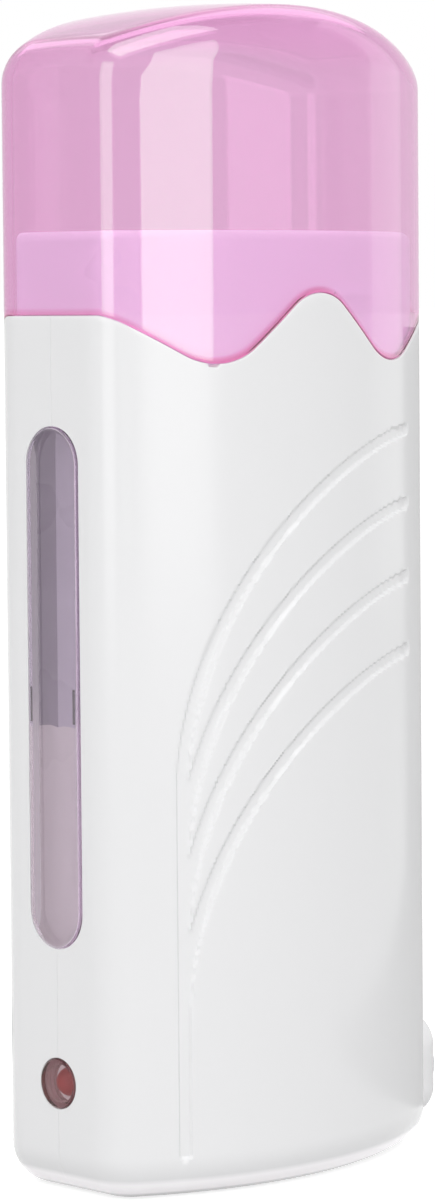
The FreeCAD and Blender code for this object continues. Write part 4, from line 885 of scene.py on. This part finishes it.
# rows of tone, roughness, index, peel, the peel's scale in millimetres, and the nodes made of it
keptPlastics = {
    # moulded, dipped and cast insulators: smooth, with a soft sheen
    "moulded_nylon_white": ("#E2E2DF", 0.35, 1.53, 0.08, 1.6, ["inlet_socket"]),
    "moulded_epoxy_black": ("#1A1A1B", 0.35, 1.55, 0.1, 0.4, ["lamp_diode"]),
    "dipped_epoxy_beige": ("#D2B48C", 0.4, 1.55, 0.15, 0.7, ["lamp_resistor"]),
    "cast_polyimide_film_amber": ("#B5651D", 0.22, 1.7, 0.03, 2.5,
                                  ["insulating_film_front", "insulating_film_rear"]),
    # fired ceramics and glass cloth: dull, with a grain drawn coarser than it is so that it shows
    "sintered_barium_titanate_grey": ("#6E6C6A", 0.6, 1.6, 0.3, 0.4,
                                      ["ptc_ceramics_front", "ptc_ceramics_rear"]),
    "pressed_ceramic_tan": ("#C8A070", 0.5, 1.6, 0.2, 0.5, ["thermal_fuse"]),
    "laminated_fibreglass_green": ("#1F5A3A", 0.3, 1.55, 0.12, 0.5, ["led_board"]),
    # silicone drawn over the wires: even and slightly waxy
    "extruded_silicone_red": ("#A82020", 0.45, 1.42, 0.1, 0.6,
                              ["lead_live", "lead_fused", "lead_live_link", "lead_lamp_live"]),
    "extruded_silicone_white": ("#E6E6E2", 0.45, 1.42, 0.1, 0.6,
                                ["lead_neutral", "lead_neutral_link", "lead_lamp_neutral"]),
}

# rows of tone, roughness, depth of the scratches, and the nodes made of it
keptMetals = {
    # plated pins and screws shine
    "nickel_plated_brass": ("#D8D4CC", 0.2, 0.0, ["inlet_pin_live", "inlet_pin_neutral"]),
    "zinc_plated_steel": ("#C4C6C9", 0.25, 0.05, ["case_screws"]),
    # rolled strip and blasted plate spread the light along their grain
    "tempered_spring_steel": ("#A9A9AC", 0.28, 0.1, ["pressure_spring_front", "pressure_spring_rear"]),
    "rolled_brass": ("#C9A86A", 0.3, 0.1, ["inner_electrode_front", "inner_electrode_rear",
                                           "outer_electrode_front", "outer_electrode_rear"]),
    "bead_blasted_aluminium": ("#E4E0E6", 0.5, 0.15, ["heating_plate_front", "heating_plate_rear"]),
}

finishes = {"cartridge_sleeve": sleevePolypropylene, "indicator_led": redEpoxy}
for make, table in ((mouldedPlastic, keptPlastics), (metal, keptMetals)):
    for name, (*values, nodes) in table.items():
        finishes.update(dict.fromkeys(nodes, make(name, *values)))

for node, finish in finishes.items():
    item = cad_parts[node]
    for place in item.material_slots:
        place.material = finish
    smoothing = item.modifiers.new("weld_and_smooth", "NODES")
    smoothing.node_group = weldAndSmooth
    evening = item.modifiers.new("flat_faces_stay_even", "WEIGHTED_NORMAL")
    evening.keep_sharp = True
print("kept nodes:", len(finishes))

cameraSize = {
    "azimuth": 44.27, "distance": 666.4, "height": 139.8, "pitch": 0.05786, "roll": 0.00832,
    "focalPixels": 4153.4, "frameHeight": 1200, "sensor": 36.0, "centreRow": 536.95, "centreColumn": 217.63,
    "frameWidth": 435,
}


def makeCamera():
    # it stands at an azimuth and looks slightly down; rise and level are its own axes before the roll
    c = cameraSize
    azimuth = math.radians(c["azimuth"])
    away = Vector((-math.sin(azimuth), -math.cos(azimuth), 0))
    up = Vector((0, 0, 1))
    forward = -away * math.cos(c["pitch"]) - up * math.sin(c["pitch"])
    level = Vector((math.cos(azimuth), -math.sin(azimuth), 0))
    rise = -away * math.sin(c["pitch"]) + up * math.cos(c["pitch"])
    upward = rise * math.cos(c["roll"]) + level * math.sin(c["roll"])
    across = level * math.cos(c["roll"]) - rise * math.sin(c["roll"])
    data = bpy.data.cameras.new("camera")
    data.sensor_width = c["sensor"]
    data.lens = c["focalPixels"] * c["sensor"] / c["frameHeight"]
    data.shift_y = (c["centreRow"] - c["frameHeight"] / 2) / c["frameHeight"]
    data.shift_x = (c["frameWidth"] / 2 - c["centreColumn"]) / c["frameHeight"]
    made = addObject("camera", data)
    turn = Matrix((across, upward, -forward)).transposed()
    place = (away * c["distance"] + up * c["height"]) * mm
    made.matrix_world = Matrix.Translation(place) @ turn.to_4x4()
    bpy.context.scene.camera = made


makeCamera()
print("camera:", cameraSize["distance"], "mm away")

softLights = {
    # places and sizes in metres; glow is the brightness of the light's face. A key is not seen in
    # reflections and a card is seen only in them
    "key_front": {"place": (-0.8, -1.02, 0.4), "size": (0.8, 1.2), "glow": 1.95, "kind": "key"},
    "key_rear": {"place": (-0.9, 0.93, 0.4), "size": (0.8, 1.2), "glow": 0.33, "kind": "key"},
    "softbox_top": {"place": (-0.17, -0.17, 1.2), "size": (0.75, 0.62), "glow": 2.8, "aimX": -0.17},
    "card_behind": {"place": (0.75, 0.77, 1.25), "size": (1.8, 0.9), "glow": 0.5, "kind": "card"},
    "card_front": {"place": (-0.13, -1.09, 0.35), "size": (0.46, 1.5), "glow": 1.9, "kind": "card"},
    "card_left": {"place": (-1.16, -0.29, 0.35), "size": (0.56, 1.5), "glow": 1.6, "kind": "card"},
    "card_right": {"place": (1.18, -0.2, 0.35), "size": (0.44, 1.5), "glow": 0.35, "kind": "card"},
}

aimHeight = 0.1  # metres

for name, light in softLights.items():
    data = bpy.data.lights.new(name, "AREA")
    data.shape = "RECTANGLE"
    data.size, data.size_y = light["size"]
    data.energy = light["glow"] * math.pi * light["size"][0] * light["size"][1]
    made = addObject(name, data)
    made.location = light["place"]
    aim = Vector((light.get("aimX", 0), 0, aimHeight)) - made.location
    made.rotation_euler = aim.to_track_quat("-Z", "Y").to_euler()
    made.visible_diffuse = light.get("kind") != "card"
    made.visible_glossy = made.visible_transmission = light.get("kind") != "key"
print("lights:", len(softLights))

studio = {"ambient": 0.74, "floorAlbedo": 0.55, "floorGlow": 0.74, "floorReach": 30.0}


def seesBackdrop(tree):
    # 1 for rays from the camera, from gloss and through clear plastic, which all see the pale studio
    rays = addNode(tree, "ShaderNodeLightPath")
    first = addNode(tree, "ShaderNodeMath", {"operation": "MAXIMUM"},
                    {0: rays.outputs["Is Camera Ray"], 1: rays.outputs["Is Glossy Ray"]})
    both = addNode(tree, "ShaderNodeMath", {"operation": "MAXIMUM"},
                   {0: first.outputs[0], 1: rays.outputs["Is Transmission Ray"]})
    return both.outputs[0]


world = bpy.data.worlds.new("pale_studio")
bpy.context.scene.world = world
world.use_nodes = True
tree = world.node_tree
tree.nodes.clear()
strength = addNode(tree, "ShaderNodeMapRange", {"To Min": studio["ambient"], "To Max": 1.0},
                   {"Value": seesBackdrop(tree)})
glow = addNode(tree, "ShaderNodeBackground", {"Color": (1, 1, 1, 1)},
               {"Strength": strength.outputs["Result"]})
addNode(tree, "ShaderNodeOutputWorld", None, {"Surface": glow.outputs["Background"]})

# matt paper: it takes the heater's soft shadow, and with a light of its own it fades into the backdrop
paper, tree = newMaterial("matt_paper_white")
sheen = addNode(tree, "ShaderNodeBsdfDiffuse", {"Color": (studio["floorAlbedo"],) * 3 + (1.0,)})
lift = addNode(tree, "ShaderNodeMath", {"operation": "MULTIPLY", 1: studio["floorGlow"]},
               {0: seesBackdrop(tree)})
own = addNode(tree, "ShaderNodeEmission", {"Color": (1, 1, 1, 1)}, {"Strength": lift.outputs[0]})
total = addNode(tree, "ShaderNodeAddShader", None,
                {0: sheen.outputs["BSDF"], 1: own.outputs["Emission"]})
addNode(tree, "ShaderNodeOutputMaterial", None, {"Surface": total.outputs["Shader"]})
reach = studio["floorReach"]
mesh = bpy.data.meshes.new("floor")
mesh.from_pydata([(-reach, -reach, 0), (reach, -reach, 0), (reach, reach, 0), (-reach, reach, 0)], [],
                 [(0, 1, 2, 3)])
mesh.materials.append(paper)
floor = addObject("floor", mesh)

flagSize = {"turn": 20.6, "near": 0.05, "far": 0.35, "width": 0.27, "lift": 0.001, "rise": 0.132,
            "glow": 0.61}


def makeFlag():
    # a grey card bent up from the floor behind the right side, seen only in gloss: it keeps the far edge
    # from fading into the white. Sizes in metres
    s = flagSize
    made, tree = newMaterial("matt_card_grey")
    own = addNode(tree, "ShaderNodeEmission", {"Color": (1, 1, 1, 1), "Strength": s["glow"]})
    addNode(tree, "ShaderNodeOutputMaterial", None, {"Surface": own.outputs["Emission"]})
    turn = math.radians(s["turn"])
    outward = np.array([math.cos(turn), math.sin(turn), 0.0])
    across = np.array([-math.sin(turn), math.cos(turn), 0.0]) * s["width"] / 2
    path = [(s["near"], s["lift"]), (s["far"], s["lift"]), (s["far"], s["rise"])]
    rows = np.array([[away * outward + side * across + (0, 0, z) for side in (-1, 1)] for away, z in path])
    mesh = bpy.data.meshes.new("flag_right")
    mesh.from_pydata(rows.reshape(-1, 3).tolist(), [], gridFaces(tableIndex(rows)))
    mesh.materials.append(made)
    flag = addObject("flag_right", mesh)
    flag.visible_camera = flag.visible_diffuse = flag.visible_transmission = flag.visible_shadow = False


makeFlag()
print("world, floor and card done")

bpy.context.scene.view_settings.view_transform = "Standard"
